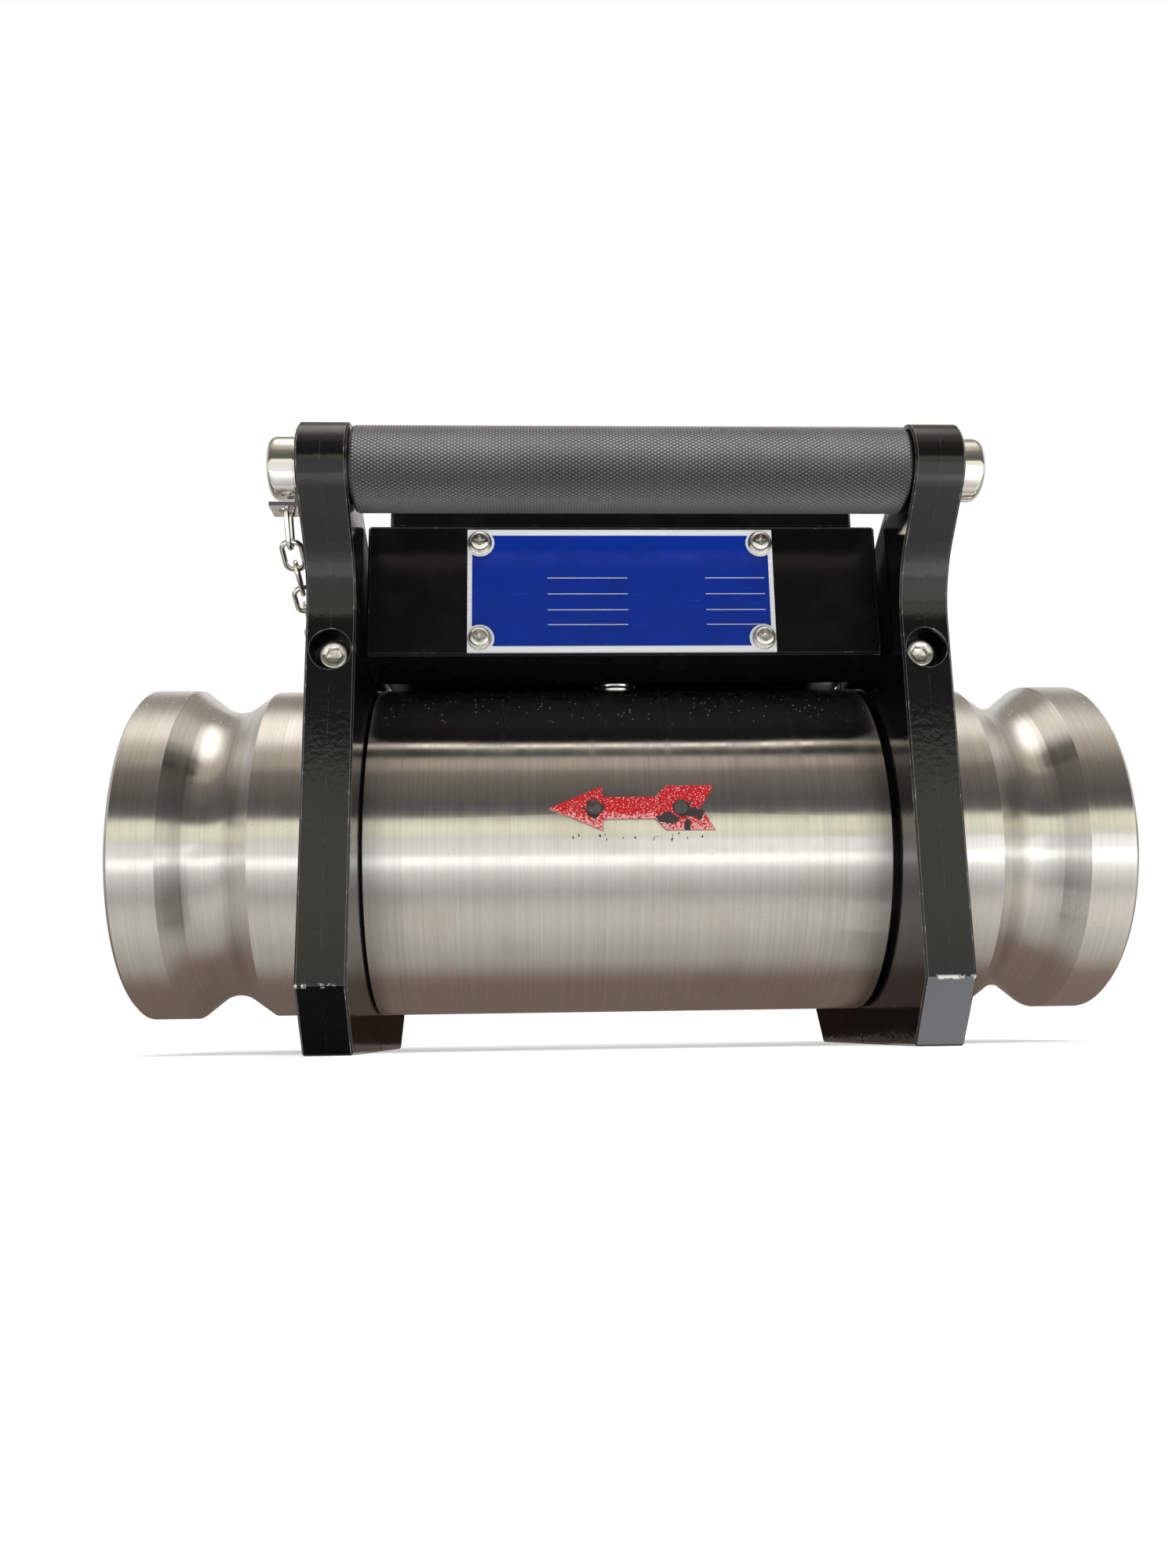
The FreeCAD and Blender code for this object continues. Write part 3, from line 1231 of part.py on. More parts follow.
def make_all():
    make_meter_body()
    make_flow_arrow()
    make_arrow_rivets()
    for end, side in (("inlet", 1), ("outlet", -1)):
        make_straightener(f"{end}_straightener", side)
        make_bearing(f"{end}_bearing", side)
        make_circlip(f"{end}_circlip", side)
    make_rotor()
    make_pickup()
    make_plates()
    make_clamp_screws()
    make_handle()
    make_chain_eyelet()
    make_chain()
    make_chain_ring()
    make_housing()
    make_gasket()
    make_cover()
    make_cover_screws()
    make_buttons()
    make_electronics()
    make_nameplate()


def check_document():
    """Stop before writing anything if an object failed or a solid is not sound."""
    failed = [item.Name for item in DOC.Objects if {"Invalid", "Error"} & set(item.State)]
    if failed:
        raise RuntimeError(f"failed objects: {failed}")
    for node in NODES:
        shape = node.Shape
        if shape.isNull() or not shape.isValid() or not shape.Solids:
            raise RuntimeError(f"unsound shape: {node.Label}")


def write_parts():
    os.makedirs("parts", exist_ok=True)
    for node in NODES:
        node.Shape.exportStep(f"parts/{node.Label}.step")


make_all()
DOC.recompute()
check_document()
write_parts()
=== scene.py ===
"""The looks of a portable flow meter: small pieces, finishes, studio and camera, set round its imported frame.

Lengths are in metres. X runs along the pipe, Y from the front to the back and Z up.
"""
import bmesh
import bpy
import math
import numpy
import random
from mathutils import Matrix, Vector


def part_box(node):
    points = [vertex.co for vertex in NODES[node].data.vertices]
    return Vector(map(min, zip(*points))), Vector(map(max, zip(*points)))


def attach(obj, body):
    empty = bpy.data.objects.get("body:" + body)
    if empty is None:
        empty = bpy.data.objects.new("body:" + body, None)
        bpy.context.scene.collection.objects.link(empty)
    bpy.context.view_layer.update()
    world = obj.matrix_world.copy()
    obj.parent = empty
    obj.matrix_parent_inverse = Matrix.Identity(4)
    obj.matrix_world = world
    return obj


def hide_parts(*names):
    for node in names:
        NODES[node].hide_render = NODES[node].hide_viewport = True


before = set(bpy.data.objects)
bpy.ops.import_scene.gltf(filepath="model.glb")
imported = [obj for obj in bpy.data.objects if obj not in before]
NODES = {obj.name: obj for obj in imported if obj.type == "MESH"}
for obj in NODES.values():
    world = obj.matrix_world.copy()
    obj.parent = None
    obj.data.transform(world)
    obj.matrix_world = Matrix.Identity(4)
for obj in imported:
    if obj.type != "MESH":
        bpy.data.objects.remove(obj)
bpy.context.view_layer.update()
MM = 0.001
FULL_TURN = 2 * math.pi
WELD = 0.001 * MM
SHARP_ANGLE = math.radians(38)

# The photograph's frame and the camera that took it
PHOTO_WIDTH = 1499
PHOTO_HEIGHT = 1999
FOCAL_PIXELS = 1507
SENSOR = 36.0
CLIP_START = 0.005
CAMERA_PLACE = (-0.02142, -0.32419, 0.00557)
CAMERA_TURN = (101.65, 0.87, -2.06)

# Colours, linear
STEEL = (0.70, 0.685, 0.655)
STAINED_STEEL = (0.40, 0.345, 0.29)
BRIGHT_STEEL = (0.80, 0.785, 0.76)
PALE_STEEL = (0.80, 0.79, 0.76)
DULL_STEEL = (0.50, 0.49, 0.47)
DARK_STEEL = (0.060, 0.056, 0.054)
BARE_METAL = (0.42, 0.42, 0.43)
BLACK = (0.0035, 0.0035, 0.0038)
SOOT = (0.012, 0.0115, 0.0115)
KNURL_DARK = (0.07, 0.07, 0.072)
KNURL_BRIGHT = (0.63, 0.63, 0.64)
RED = (0.46, 0.005, 0.008)
BLUE = (0.0040, 0.028, 0.30)
GREEN = (0.012, 0.11, 0.045)
WHITE = (1.0, 1.0, 1.0)


# Materials

class Nodes:
    """A node tree that is added to step by step."""

    def __init__(self, tree):
        self.tree = tree

    def node(self, kind, **settings):
        node = self.tree.nodes.new("ShaderNode" + kind)
        for word, value in settings.items():
            setattr(node, word, value)
        return node

    def feed(self, socket, value):
        """Links a socket to the input, or sets the input's own value; a colour gets its alpha."""
        if isinstance(value, bpy.types.NodeSocket):
            self.tree.links.new(value, socket)
        else:
            socket.default_value = (*value, 1.0) if socket.type == "RGBA" else value

    def math(self, operation, first, second=0.0):
        node = self.node("Math", operation=operation)
        self.feed(node.inputs[0], first)
        self.feed(node.inputs[1], second)
        return node.outputs["Value"]

    def light(self, kind, color, strength):
        """Plain light: Emission from a surface, or Background from the world."""
        node = self.node(kind)
        self.feed(node.inputs["Color"], color)
        self.feed(node.inputs["Strength"], strength)
        return node.outputs[0]

    def show(self, output, first, share=None, second=None):
        """Shows one shader, or blends a second one in by its share."""
        if second is not None:
            blend = self.node("MixShader")
            for socket, value in zip(blend.inputs, (share, first, second)):
                self.feed(socket, value)
            first = blend.outputs[0]
        self.feed(self.tree.nodes[output].inputs["Surface"], first)


class Finish(Nodes):
    """A material with one Principled shader, whose textures are added step by step."""

    def __init__(self, name, color, metallic=0.0, roughness=0.5, **sockets):
        self.material = bpy.data.materials.new(name)
        self.material.use_nodes = True
        super().__init__(self.material.node_tree)
        self.shader = self.tree.nodes["Principled BSDF"]
        self.place = self.node("TexCoord").outputs["Object"]
        self.feed(self.shader.inputs["Base Color"], color)
        self.feed(self.shader.inputs["Metallic"], metallic)
        self.feed(self.shader.inputs["Roughness"], roughness)
        for word, value in sockets.items():
            self.feed(self.shader.inputs[word.replace("_", " ").title().replace("Ior", "IOR")], value)

    def noise(self, scale, detail=4.0, stretch=(1, 1, 1), shift=0.0):
        """Noise between 0 and 1, with about so many features in a metre along X, Y and Z."""
        mapping = self.node("Mapping")
        self.feed(mapping.inputs["Vector"], self.place)
        self.feed(mapping.inputs["Location"], (shift, shift, shift))
        self.feed(mapping.inputs["Scale"], [scale * share for share in stretch])
        noise = self.node("TexNoise")
        self.feed(noise.inputs["Vector"], mapping.outputs["Vector"])
        self.feed(noise.inputs["Scale"], 1.0)
        self.feed(noise.inputs["Detail"], detail)
        return noise.outputs["Fac"]

    def cells(self, scale):
        """Distance in a pattern of random cells, so many to the metre."""
        cells = self.node("TexVoronoi")
        self.feed(cells.inputs["Vector"], self.place)
        self.feed(cells.inputs["Scale"], scale)
        return cells.outputs["Distance"]

    def part(self, vector, letter):
        """One of the three numbers of a vector."""
        split = self.node("SeparateXYZ")
        self.feed(split.inputs[0], vector)
        return split.outputs[letter]

    def axis(self, letter):
        """Where the spot lies along an axis."""
        return self.part(self.place, letter)

    def span(self, value, low, high, start=0.0, end=1.0):
        """Maps low to high onto start to end, and holds it there."""
        node = self.node("MapRange", clamp=True)
        for socket, number in zip(node.inputs, (value, low, high, start, end)):
            self.feed(socket, number)
        return node.outputs["Result"]

    def times(self, first, second):
        return self.math("MULTIPLY", first, second)

    def larger(self, first, second):
        return self.math("MAXIMUM", first, second)

    def hypot(self, first, second):
        """The length of a line from its two parts."""
        squares = [self.times(part, part) for part in (first, second)]
        return self.math("SQRT", self.math("ADD", *squares))

    def mix(self, share, first, second):
        """The first colour where the share is 0 and the second where it is 1."""
        node = self.node("Mix", data_type="RGBA")
        self.feed(node.inputs["Factor"], share)
        self.feed(node.inputs[6], first)
        self.feed(node.inputs[7], second)
        return node.outputs[2]

    def near(self, letter, value, reach, soft):
        """A mask that is 1 within reach of a place on an axis, and fades out over the soft width."""
        distance = self.math("ABSOLUTE", self.math("SUBTRACT", self.axis(letter), value))
        return self.span(distance, reach + soft, reach)

    def blot(self, x, z, half_width, half_height, ragged):
        """A mask for an oval on a front, from 1 in its middle to 0 past its ragged rim."""
        across = self.math("DIVIDE", self.math("SUBTRACT", self.axis("X"), x), half_width)
        upward = self.math("DIVIDE", self.math("SUBTRACT", self.axis("Z"), z), half_height)
        return self.span(self.math("ADD", self.hypot(across, upward), ragged), 1.05, 0.95)

    def edge(self, radius):
        """A mask that is 1 along worn outside edges and corners."""
        bevel = self.node("Bevel", samples=6)
        self.feed(bevel.inputs["Radius"], radius)
        dot = self.node("VectorMath", operation="DOT_PRODUCT")
        self.feed(dot.inputs[0], bevel.outputs["Normal"])
        self.feed(dot.inputs[1], self.node("NewGeometry").outputs["Normal"])
        return self.span(dot.outputs["Value"], 0.995, 0.93)

    def facing(self, letter):
        """How far the surface faces along an axis, from -1 to 1."""
        return self.part(self.node("NewGeometry").outputs["Normal"], letter)

    def glow(self, color, strength):
        """Light from the surface that is not sampled as a lamp."""
        self.material.cycles.emission_sampling = "NONE"
        return self.light("Emission", color, strength)

    def color(self, socket):
        self.feed(self.shader.inputs["Base Color"], socket)

    def roughness(self, value, low, high):
        self.feed(self.shader.inputs["Roughness"], self.span(value, 0.3, 0.7, low, high))

    def bump(self, height, depth):
        """Raises the surface by up to the depth, on top of bumps that are there already."""
        bump = self.node("Bump")
        self.feed(bump.inputs["Height"], height)
        self.feed(bump.inputs["Distance"], depth)
        normal = self.shader.inputs["Normal"]
        if normal.links:
            self.feed(bump.inputs["Normal"], normal.links[0].from_socket)
        self.feed(normal, bump.outputs["Normal"])

    def comb(self, letter):
        """Lets highlights run along the axis of a turned piece, across its fine turning lines."""
        tangent = self.node("Tangent", direction_type="RADIAL", axis=letter)
        self.feed(self.shader.inputs["Tangent"], tangent.outputs["Tangent"])


# Plain finishes: two tones, how a noise blends them, its scale, detail and stretch, metalness and roughness.
# Some have a finer noise for the gloss, and a depth for its bumps.
MOTTLED = {
    "satin_steel": (STEEL, BARE_METAL, (0.35, 0.7, 0.0, 0.4), (700, 3.0), 1.0, (0.24, 0.4)),
    "bright_steel": (BRIGHT_STEEL, STAINED_STEEL, (0.5, 0.75, 0.0, 0.3), (240, 5.0), 1.0, (0.06, 0.2)),
    "screw_steel": (PALE_STEEL, (0.34, 0.31, 0.26), (0.5, 0.75, 0.0, 0.6), (900, 5.0), 1.0, (0.18, 0.36)),
    "dark_steel": (DARK_STEEL, (0.12, 0.105, 0.10), (0.4, 0.75), (1100, 5.0), 0.4, (0.36, 0.55)),
    "rotor_steel": (DULL_STEEL, STAINED_STEEL, (0.45, 0.75, 0.0, 0.7), (70, 6.0), 1.0, (0.24, 0.42),
                    (1.0, 3.0, (1800, 60, 60)), 0.01 * MM),
    "brass": ((0.70, 0.48, 0.19), (0.36, 0.23, 0.09), (0.45, 0.75), (420, 5.0), 1.0, (0.2, 0.4)),
    "blue_plate": ((0.86, 0.87, 0.89), (0.72, 0.73, 0.76), (0.35, 0.7), (1.0, 4.0, (60, 2600, 2600)), 0.1,
                   (0.28, 0.44)),
    "line_metal": ((0.62, 0.65, 0.72), (0.48, 0.51, 0.58), (0.35, 0.7), (1.0, 4.0, (300, 2600, 2600)), 0.3,
                   (0.28, 0.42)),
    "black_rubber": ((0.014, 0.014, 0.015), (0.04, 0.038, 0.036), (0.45, 0.75), (260, 6.0), 0.0, (0.5, 0.72),
                     (2200, 3.0), 0.015 * MM),
    "bearing_carbon": ((0.022, 0.022, 0.023), (0.06, 0.06, 0.062), (0.4, 0.7), (1800, 4.0), 0.0,
                       (0.34, 0.54)),
    "switch_black": ((0.018, 0.018, 0.019), (0.035, 0.035, 0.036), (0.4, 0.7), (1600, 3.0), 0.0,
                     (0.36, 0.54)),
    "battery_wrap": ((0.05, 0.12, 0.30), (0.03, 0.08, 0.22), (0.4, 0.7), (160, 5.0), 0.0, (0.22, 0.42),
                     None, 0.12 * MM),
    "display_face": ((0.34, 0.375, 0.30), (0.28, 0.31, 0.245), (0.35, 0.7), (55, 3.0), 0.0, (0.32, 0.46),
                     (2600, 2.0)),
}


def mottled(name, first, second, blend, grain, metallic, gloss, fine_grain=None, depth=0.0):
    """A finish that drifts between two tones and two roughnesses."""
    finish = Finish(name, first, metallic, gloss[0])
    noise = finish.noise(*grain)
    fine = finish.noise(*fine_grain) if fine_grain else noise
    finish.color(finish.mix(finish.span(noise, *blend), first, second))
    finish.roughness(fine, *gloss)
    if depth:
        finish.bump(fine, depth)
    return finish


def two_tone(name, first, second, roughness, grain):
    """Two dark tones of ink or paint that run into each other."""
    finish = Finish(name, first, 0.0, roughness)
    finish.color(finish.mix(finish.noise(*grain), first, second))
    return finish


def turned_steel():
    """Stainless steel from the lathe: fine rings round X, worn edges that are also painted lighter as a
    highlight, stains, and dust on top.
    """
    steel = Finish("turned_steel", STEEL, 1.0, 0.24, anisotropic=0.95, anisotropic_rotation=0.25)
    steel.comb("X")
    rings = steel.noise(1.0, 5.0, stretch=(1500, 12, 12))
    bands = steel.noise(1.0, 3.0, stretch=(300, 7, 7))
    stains = steel.noise(34, 7.0)
    specks = steel.cells(260)
    upward = steel.facing("Z")
    body = steel.mix(steel.span(rings, 0.3, 0.7, 0.0, 0.3), STEEL, BARE_METAL)
    stained = steel.mix(steel.span(stains, 0.52, 0.78, 0.0, 0.4), body, STAINED_STEEL)
    spotted = steel.mix(steel.span(specks, 0.10, 0.04, 0.0, 0.3), stained, STAINED_STEEL)
    # Worn edges, also painted lighter: a painted highlight along every outside edge.
    worn = steel.mix(steel.times(steel.edge(0.35 * MM), 0.8), spotted, BRIGHT_STEEL)
    dust = steel.times(steel.span(steel.cells(560), 0.13, 0.07), steel.span(upward, 0.55, 0.75))
    steel.color(steel.mix(dust, worn, PALE_STEEL))
    film = steel.span(upward, 0.50, 0.75, 1.0, 0.95)
    steel.feed(steel.shader.inputs["Metallic"], steel.math("SUBTRACT", film, steel.times(dust, 0.9)))
    steel.roughness(bands, 0.20, 0.28)
    steel.bump(rings, 0.0045 * MM)
    return steel


def black_paint(line_places, toe_bend):
    """Thick glossy black paint with orange peel, thin on its edges and painted lighter there as a highlight,
    and chipped there and at the toes' bends.

    A faint line runs down the front of each plate, at the given places on X.
    """
    paint = Finish("black_paint", BLACK, 0.0, 0.1)
    peel = paint.noise(620, 2.0)
    patches = paint.span(paint.noise(38, 3.0, shift=1.0), 0.40, 0.58, 0.3, 1.0)
    dust = paint.noise(1500, 5.0)
    breaks = paint.noise(420, 7.0, shift=3.0)
    rim = paint.edge(0.22 * MM)
    bend = paint.times(paint.near("Z", toe_bend.z, 0.15 * MM, 0.5 * MM),
                       paint.near("Y", toe_bend.y, 0.5 * MM, 0.6 * MM))
    chips = paint.larger(paint.times(rim, paint.span(breaks, 0.57, 0.63)),
                         paint.times(bend, paint.span(breaks, 0.50, 0.56)))
    forward = paint.span(paint.facing("Y"), -0.3, -0.6)
    faint = paint.span(breaks, 0.46, 0.62, 0.0, 0.04)
    for place in line_places:
        line = paint.times(forward, paint.near("X", place, 0.03 * MM, 0.1 * MM))
        chips = paint.larger(chips, paint.times(line, faint))
    dusty = paint.mix(paint.span(dust, 0.62, 0.80, 0.0, 0.3), BLACK, (0.05, 0.05, 0.05))
    # Lighter grey along all edges: thin paint, and a painted highlight where edges and bore rims catch light.
    thin = paint.mix(paint.times(rim, 0.6), dusty, (0.30, 0.30, 0.29))
    paint.color(paint.mix(chips, thin, (0.62, 0.61, 0.58)))
    paint.roughness(paint.noise(60, 6.0), 0.07, 0.14)
    paint.bump(paint.times(peel, patches), 0.045 * MM)
    return paint


def cover_paint():
    """Satin black paint on the instrument housing and its cover, thin along the edges."""
    paint = Finish("cover_paint", BLACK, 0.0, 0.3, specular_ior_level=0.12)
    grain = paint.noise(1400, 3.0)
    breaks = paint.noise(300, 6.0, shift=5.0)
    rim = paint.edge(0.25 * MM)
    chips = paint.times(rim, paint.span(breaks, 0.60, 0.68))
    dusty = paint.mix(paint.span(paint.noise(90, 7.0), 0.5, 0.8, 0.0, 0.6), BLACK, SOOT)
    thin = paint.mix(paint.times(rim, 0.5), dusty, (0.12, 0.12, 0.12))
    paint.color(paint.mix(chips, thin, (0.34, 0.34, 0.34)))
    paint.roughness(paint.noise(75, 6.0), 0.22, 0.36)
    paint.bump(grain, 0.01 * MM)
    return paint


def knurl_metal(axis_y, axis_z, valley, crest):
    """Blackened steel whose knurl is polished bright on its points by hands."""
    metal = Finish("black_grip", KNURL_DARK, 0.70, 0.45)
    off_y = metal.math("SUBTRACT", metal.axis("Y"), axis_y)
    off_z = metal.math("SUBTRACT", metal.axis("Z"), axis_z)
    worn = metal.span(metal.hypot(off_y, off_z), valley, crest)
    wear = metal.times(worn, metal.span(metal.noise(55, 6.0), 0.3, 0.62, 0.8, 1.0))
    # The bright points are strongest on top of the bar and fade to about a fifth underneath.
    upper_weight = metal.span(metal.axis("Z"), axis_z - 0.9 * crest, axis_z + 0.2 * crest, 0.22, 1.0)
    metal.color(metal.mix(metal.times(wear, upper_weight), KNURL_DARK, KNURL_BRIGHT))
    metal.roughness(metal.noise(900, 3.0), 0.36, 0.52)
    return metal


# Smears of black on the arrow: how far right of and above the tail's rivet, half width and half height
SMEARS = (
    (-3.3 * MM, -2.8 * MM, 2.9 * MM, 1.4 * MM),
    (3.7 * MM, -1.4 * MM, 2.8 * MM, 1.4 * MM),
    (1.6 * MM, -4.2 * MM, 0.8 * MM, 2.0 * MM),
    (0.6 * MM, -0.6 * MM, 2.4 * MM, 2.2 * MM),
)
HEAD_SMEAR = 2.2 * MM

# The arrow's outline: length of its head and of its flight, and half the height of its shaft
ARROW_HEAD = 13.6 * MM
ARROW_FLIGHT = 12.1 * MM
ARROW_SHAFT = 2.85 * MM


def arrow_drop(paint):
    """How far down the arrow a spot lies, from 0 on its mid line to 1 on its lower edge."""
    low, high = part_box("flow_arrow")
    half = (high.z - low.z) / 2
    neck = low.x + ARROW_HEAD
    flight = high.x - ARROW_FLIGHT
    x = paint.axis("X")
    on_head = paint.math("LESS_THAN", x, neck)
    head_half = paint.times(on_head, paint.span(x, low.x, neck, 0.0, half))
    shaft_half = paint.times(paint.math("SUBTRACT", 1.0, on_head),
                             paint.span(x, flight - ARROW_SHAFT, flight, ARROW_SHAFT, half))
    drop = paint.math("SUBTRACT", (low.z + high.z) / 2, paint.axis("Z"))
    return paint.math("DIVIDE", drop, paint.math("ADD", head_half, shaft_half))


def red_paint(rivet_spots):
    """Red paint worn pale in fine specks, with a painted highlight making its lower edges paler, and smeared
    black round the rivets.
    """
    paint = Finish("red_paint", RED, 0.0, 0.4, specular_ior_level=0.25)
    fade = paint.noise(150, 5.0)
    specks = paint.noise(2500, 2.0, shift=2.0)
    ragged = paint.span(paint.noise(700, 5.0, shift=7.0), 0.3, 0.7, -0.5, 0.5)
    faded = paint.mix(paint.span(fade, 0.42, 0.68, 0.0, 0.5), RED, (0.38, 0.014, 0.016))
    # The specks are wear; the lower edges are made paler as a painted highlight.
    pale = paint.math("ADD", specks, paint.span(arrow_drop(paint), 0.25, 0.95, 0.0, 0.16))
    speckled = paint.mix(paint.span(pale, 0.57, 0.64, 0.0, 0.78), faded, (0.74, 0.42, 0.40))
    tail_x, tail_z = max(rivet_spots)
    head_x, head_z = min(rivet_spots)
    smear = paint.blot(head_x, head_z, HEAD_SMEAR, HEAD_SMEAR, ragged)
    for right, above, half_width, half_height in SMEARS:
        spot = paint.blot(tail_x + right, tail_z + above, half_width, half_height, ragged)
        smear = paint.larger(smear, spot)
    dark_rim = paint.times(paint.edge(0.25 * MM), 0.8)
    paint.color(paint.mix(paint.larger(smear, dark_rim), speckled, (0.040, 0.034, 0.034)))
    paint.roughness(fade, 0.34, 0.5)
    paint.bump(specks, 0.02 * MM)
    return paint


def blue_print():
    """Royal blue print on the nameplate, with hairline scratches."""
    ink = Finish("blue_print", BLUE, 0.0, 0.3, specular_ior_level=0.15)
    cloud = ink.noise(150, 5.0)
    scratch = ink.noise(1.0, 2.0, stretch=(90, 300, 4200))
    shaded = ink.mix(ink.span(cloud, 0.35, 0.7), BLUE, (0.0033, 0.024, 0.25))
    ink.color(ink.mix(ink.span(scratch, 0.70, 0.76, 0.0, 0.6), shaded, (0.07, 0.12, 0.31)))
    ink.roughness(cloud, 0.24, 0.38)
    return ink


def clear_pane():
    """A clear window pane with a few fine scratches in its gloss."""
    pane = Finish("clear_pane", (0.97, 0.98, 0.98), 0.0, 0.03, transmission_weight=1.0, ior=1.49)
    pane.roughness(pane.noise(1.0, 2.0, stretch=(60, 900, 900)), 0.02, 0.07)
    return pane


def board_green():
    """A circuit board's lacquer, with the shine of tracks under it."""
    board = Finish("board_green", GREEN, 0.0, 0.3)
    weave = board.noise(3200, 2.0)
    tracks = board.node("TexBrick", offset=0.5)
    board.feed(tracks.inputs["Vector"], board.place)
    board.feed(tracks.inputs["Scale"], 180.0)
    shade = board.mix(tracks.outputs["Fac"], GREEN, (0.03, 0.19, 0.08))
    board.color(board.mix(board.span(weave, 0.45, 0.7, 0.0, 0.3), shade, (0.02, 0.08, 0.03)))
    board.roughness(weave, 0.24, 0.38)
    return board


# Geometry

def add_object(name, data):
    thing = bpy.data.objects.new(name, data)
    bpy.context.collection.objects.link(thing)
    return thing


def full_turn(steps):
    """The angles of a full turn in equal steps."""
    return [FULL_TURN * step / steps for step in range(steps)]


def quarter_turn(steps):
    """The angles of a quarter turn in equal steps, with both ends."""
    return [math.pi / 2 * step / steps for step in range(steps + 1)]


def oval(turns, across, upward):
    """Points on an oval at the given angles, from its half width and half height."""
    return [(across * math.cos(turn), upward * math.sin(turn)) for turn in turns]


class Shape:
    """Points and faces of one piece, gathered part by part."""

    def __init__(self):
        self.points = []
        self.faces = []

    def skin(self, rows, place=Matrix()):
        """Joins rows of equally many points, each of which runs round."""
        first = len(self.points)
        width = len(rows[0])
        for row in rows:
            self.points += [place @ Vector(point) for point in row]
        for start in range(first, first + width * (len(rows) - 1), width):
            for column in range(width):
                below = start + column
                beside = start + (column + 1) % width
                self.faces.append((below, beside, width + beside, width + below))

    def lathe(self, profile, place=Matrix(), segments=48):
        """Turns radius and height pairs about local Z; a radius may be a function of the angle."""
        rows = []
        for radius, height in profile:
            row = []
            for angle in full_turn(segments):
                reach = radius(angle) if callable(radius) else radius
                row.append((reach * math.cos(angle), reach * math.sin(angle), height))
            rows.append(row)
        self.skin(rows, place)

    def wire(self, path, normal, radius, sides=16):
        """Bends a round wire along a closed flat path."""
        rows = []
        for index, point in enumerate(path):
            ahead = (path[(index + 1) % len(path)] - path[index - 1]).normalized()
            side = normal.cross(ahead)
            spokes = [math.cos(turn) * normal + math.sin(turn) * side for turn in full_turn(sides)]
            rows.append([point + radius * spoke for spoke in spokes])
        rows.append(rows[0])
        self.skin(rows)

    def prism(self, outline, bottom, top, place=Matrix()):
        """A flat piece with a plain outline, between two heights on local Z."""
        first = len(self.points)
        count = len(outline)
        self.skin([[(x, y, height) for x, y in outline] for height in (bottom, top)], place)
        self.faces.append(tuple(range(first + count - 1, first - 1, -1)))
        self.faces.append(tuple(range(first + count, first + 2 * count)))

    def piece(self, name, finish, replaces=(), flat=False, body="meter"):
        """Makes the object, and lets it ride on its body."""
        mesh = bpy.data.meshes.new(name)
        mesh.from_pydata(self.points, [], self.faces)
        work = bmesh.new()
        work.from_mesh(mesh)
        bmesh.ops.remove_doubles(work, verts=work.verts, dist=WELD)
        bmesh.ops.dissolve_degenerate(work, edges=work.edges, dist=WELD)
        bmesh.ops.recalc_face_normals(work, faces=work.faces)
        work.to_mesh(mesh)
        work.free()
        if not flat:
            mesh.shade_smooth()
            mesh.set_sharp_from_angle(angle=SHARP_ANGLE)
        mesh.materials.append(finish.material)
        thing = add_object(name, mesh)
        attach(thing, body)
        if replaces:
            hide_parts(*replaces)


# The toes and the front edges of the plates lie below the first, and the middle tube within the second
TOE_LIMIT = 60 * MM
TUBE_LIMIT = 60 * MM

# How far apart points may lie and still be on the same line or end
LINE_PLAY = 0.05 * MM
END_PLAY = 0.1 * MM


def node_points(node):
    return numpy.array([vertex.co[:] for vertex in NODES[node].data.vertices])


def loose_parts(node):
    """The points of each separate solid in a CAD node."""
    work = bmesh.new()
    work.from_mesh(NODES[node].data)
    bmesh.ops.remove_doubles(work, verts=work.verts, dist=WELD)
    waiting = dict.fromkeys(work.verts)
    parts = []
    while waiting:
        found = [waiting.popitem()[0]]
        for vertex in found:
            for edge in vertex.link_edges:
                other = edge.other_vert(vertex)
                if other in waiting:
                    del waiting[other]
                    found.append(other)
        parts.append(numpy.array([vertex.co[:] for vertex in found]))
    work.free()
    return parts


def middles(node):
    """X and Z of the middle of each solid in a CAD node."""
    spots = [(points.min(axis=0) + points.max(axis=0)) / 2 for points in loose_parts(node)]
    return [(float(spot[0]), float(spot[2])) for spot in spots]


def toe_line():
    """Y and Z of both ends of a clamp plate's toe: at the bend of its front edge, and on the floor."""
    points = node_points("left_plate_front")
    below = points[points[:, 2] < TOE_LIMIT]
    front = below[below[:, 1] < below[:, 1].min() + LINE_PLAY]
    sole = below[below[:, 2] < below[:, 2].min() + LINE_PLAY]
    return [Vector((0, float(end[:, 1].min()), float(end[:, 2].min()))) for end in (front, sole)]


def plate_middles():
    """X of the middle of each clamp plate."""
    boxes = [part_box(node) for node in ("left_plate_front", "right_plate_front")]
    return [(low.x + high.x) / 2 for low, high in boxes]


def pipe_round():
    """Y and Z of the pipe's axis, and the radius of its middle tube."""
    low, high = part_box("meter_body")
    middle = (low + high) / 2
    points = node_points("meter_body")
    tube = points[abs(points[:, 0]) < TUBE_LIMIT]
    return middle.y, middle.z, float(numpy.hypot(tube[:, 1] - middle.y, tube[:, 2] - middle.z).max())


def outward_place(points, axis):
    """The place of a screw or rivet: local Z points out of its head, from the middle of the head's top."""
    low = points.min(axis=0)
    high = points.max(axis=0)
    middle = (low + high) / 2
    near = points[points[:, axis] < low[axis] + END_PLAY]
    far = points[points[:, axis] > high[axis] - END_PLAY]
    width = [numpy.ptp(end, axis=0).sum() for end in (near, far)]
    at_low = width[0] > width[1]
    top = Vector(middle)
    top[axis] = low[axis] if at_low else high[axis]
    outward = Vector((0, 0, 0))
    outward[axis] = -1.0 if at_low else 1.0
    return Matrix.Translation(top) @ outward.to_track_quat("Z", "Y").to_matrix().to_4x4()


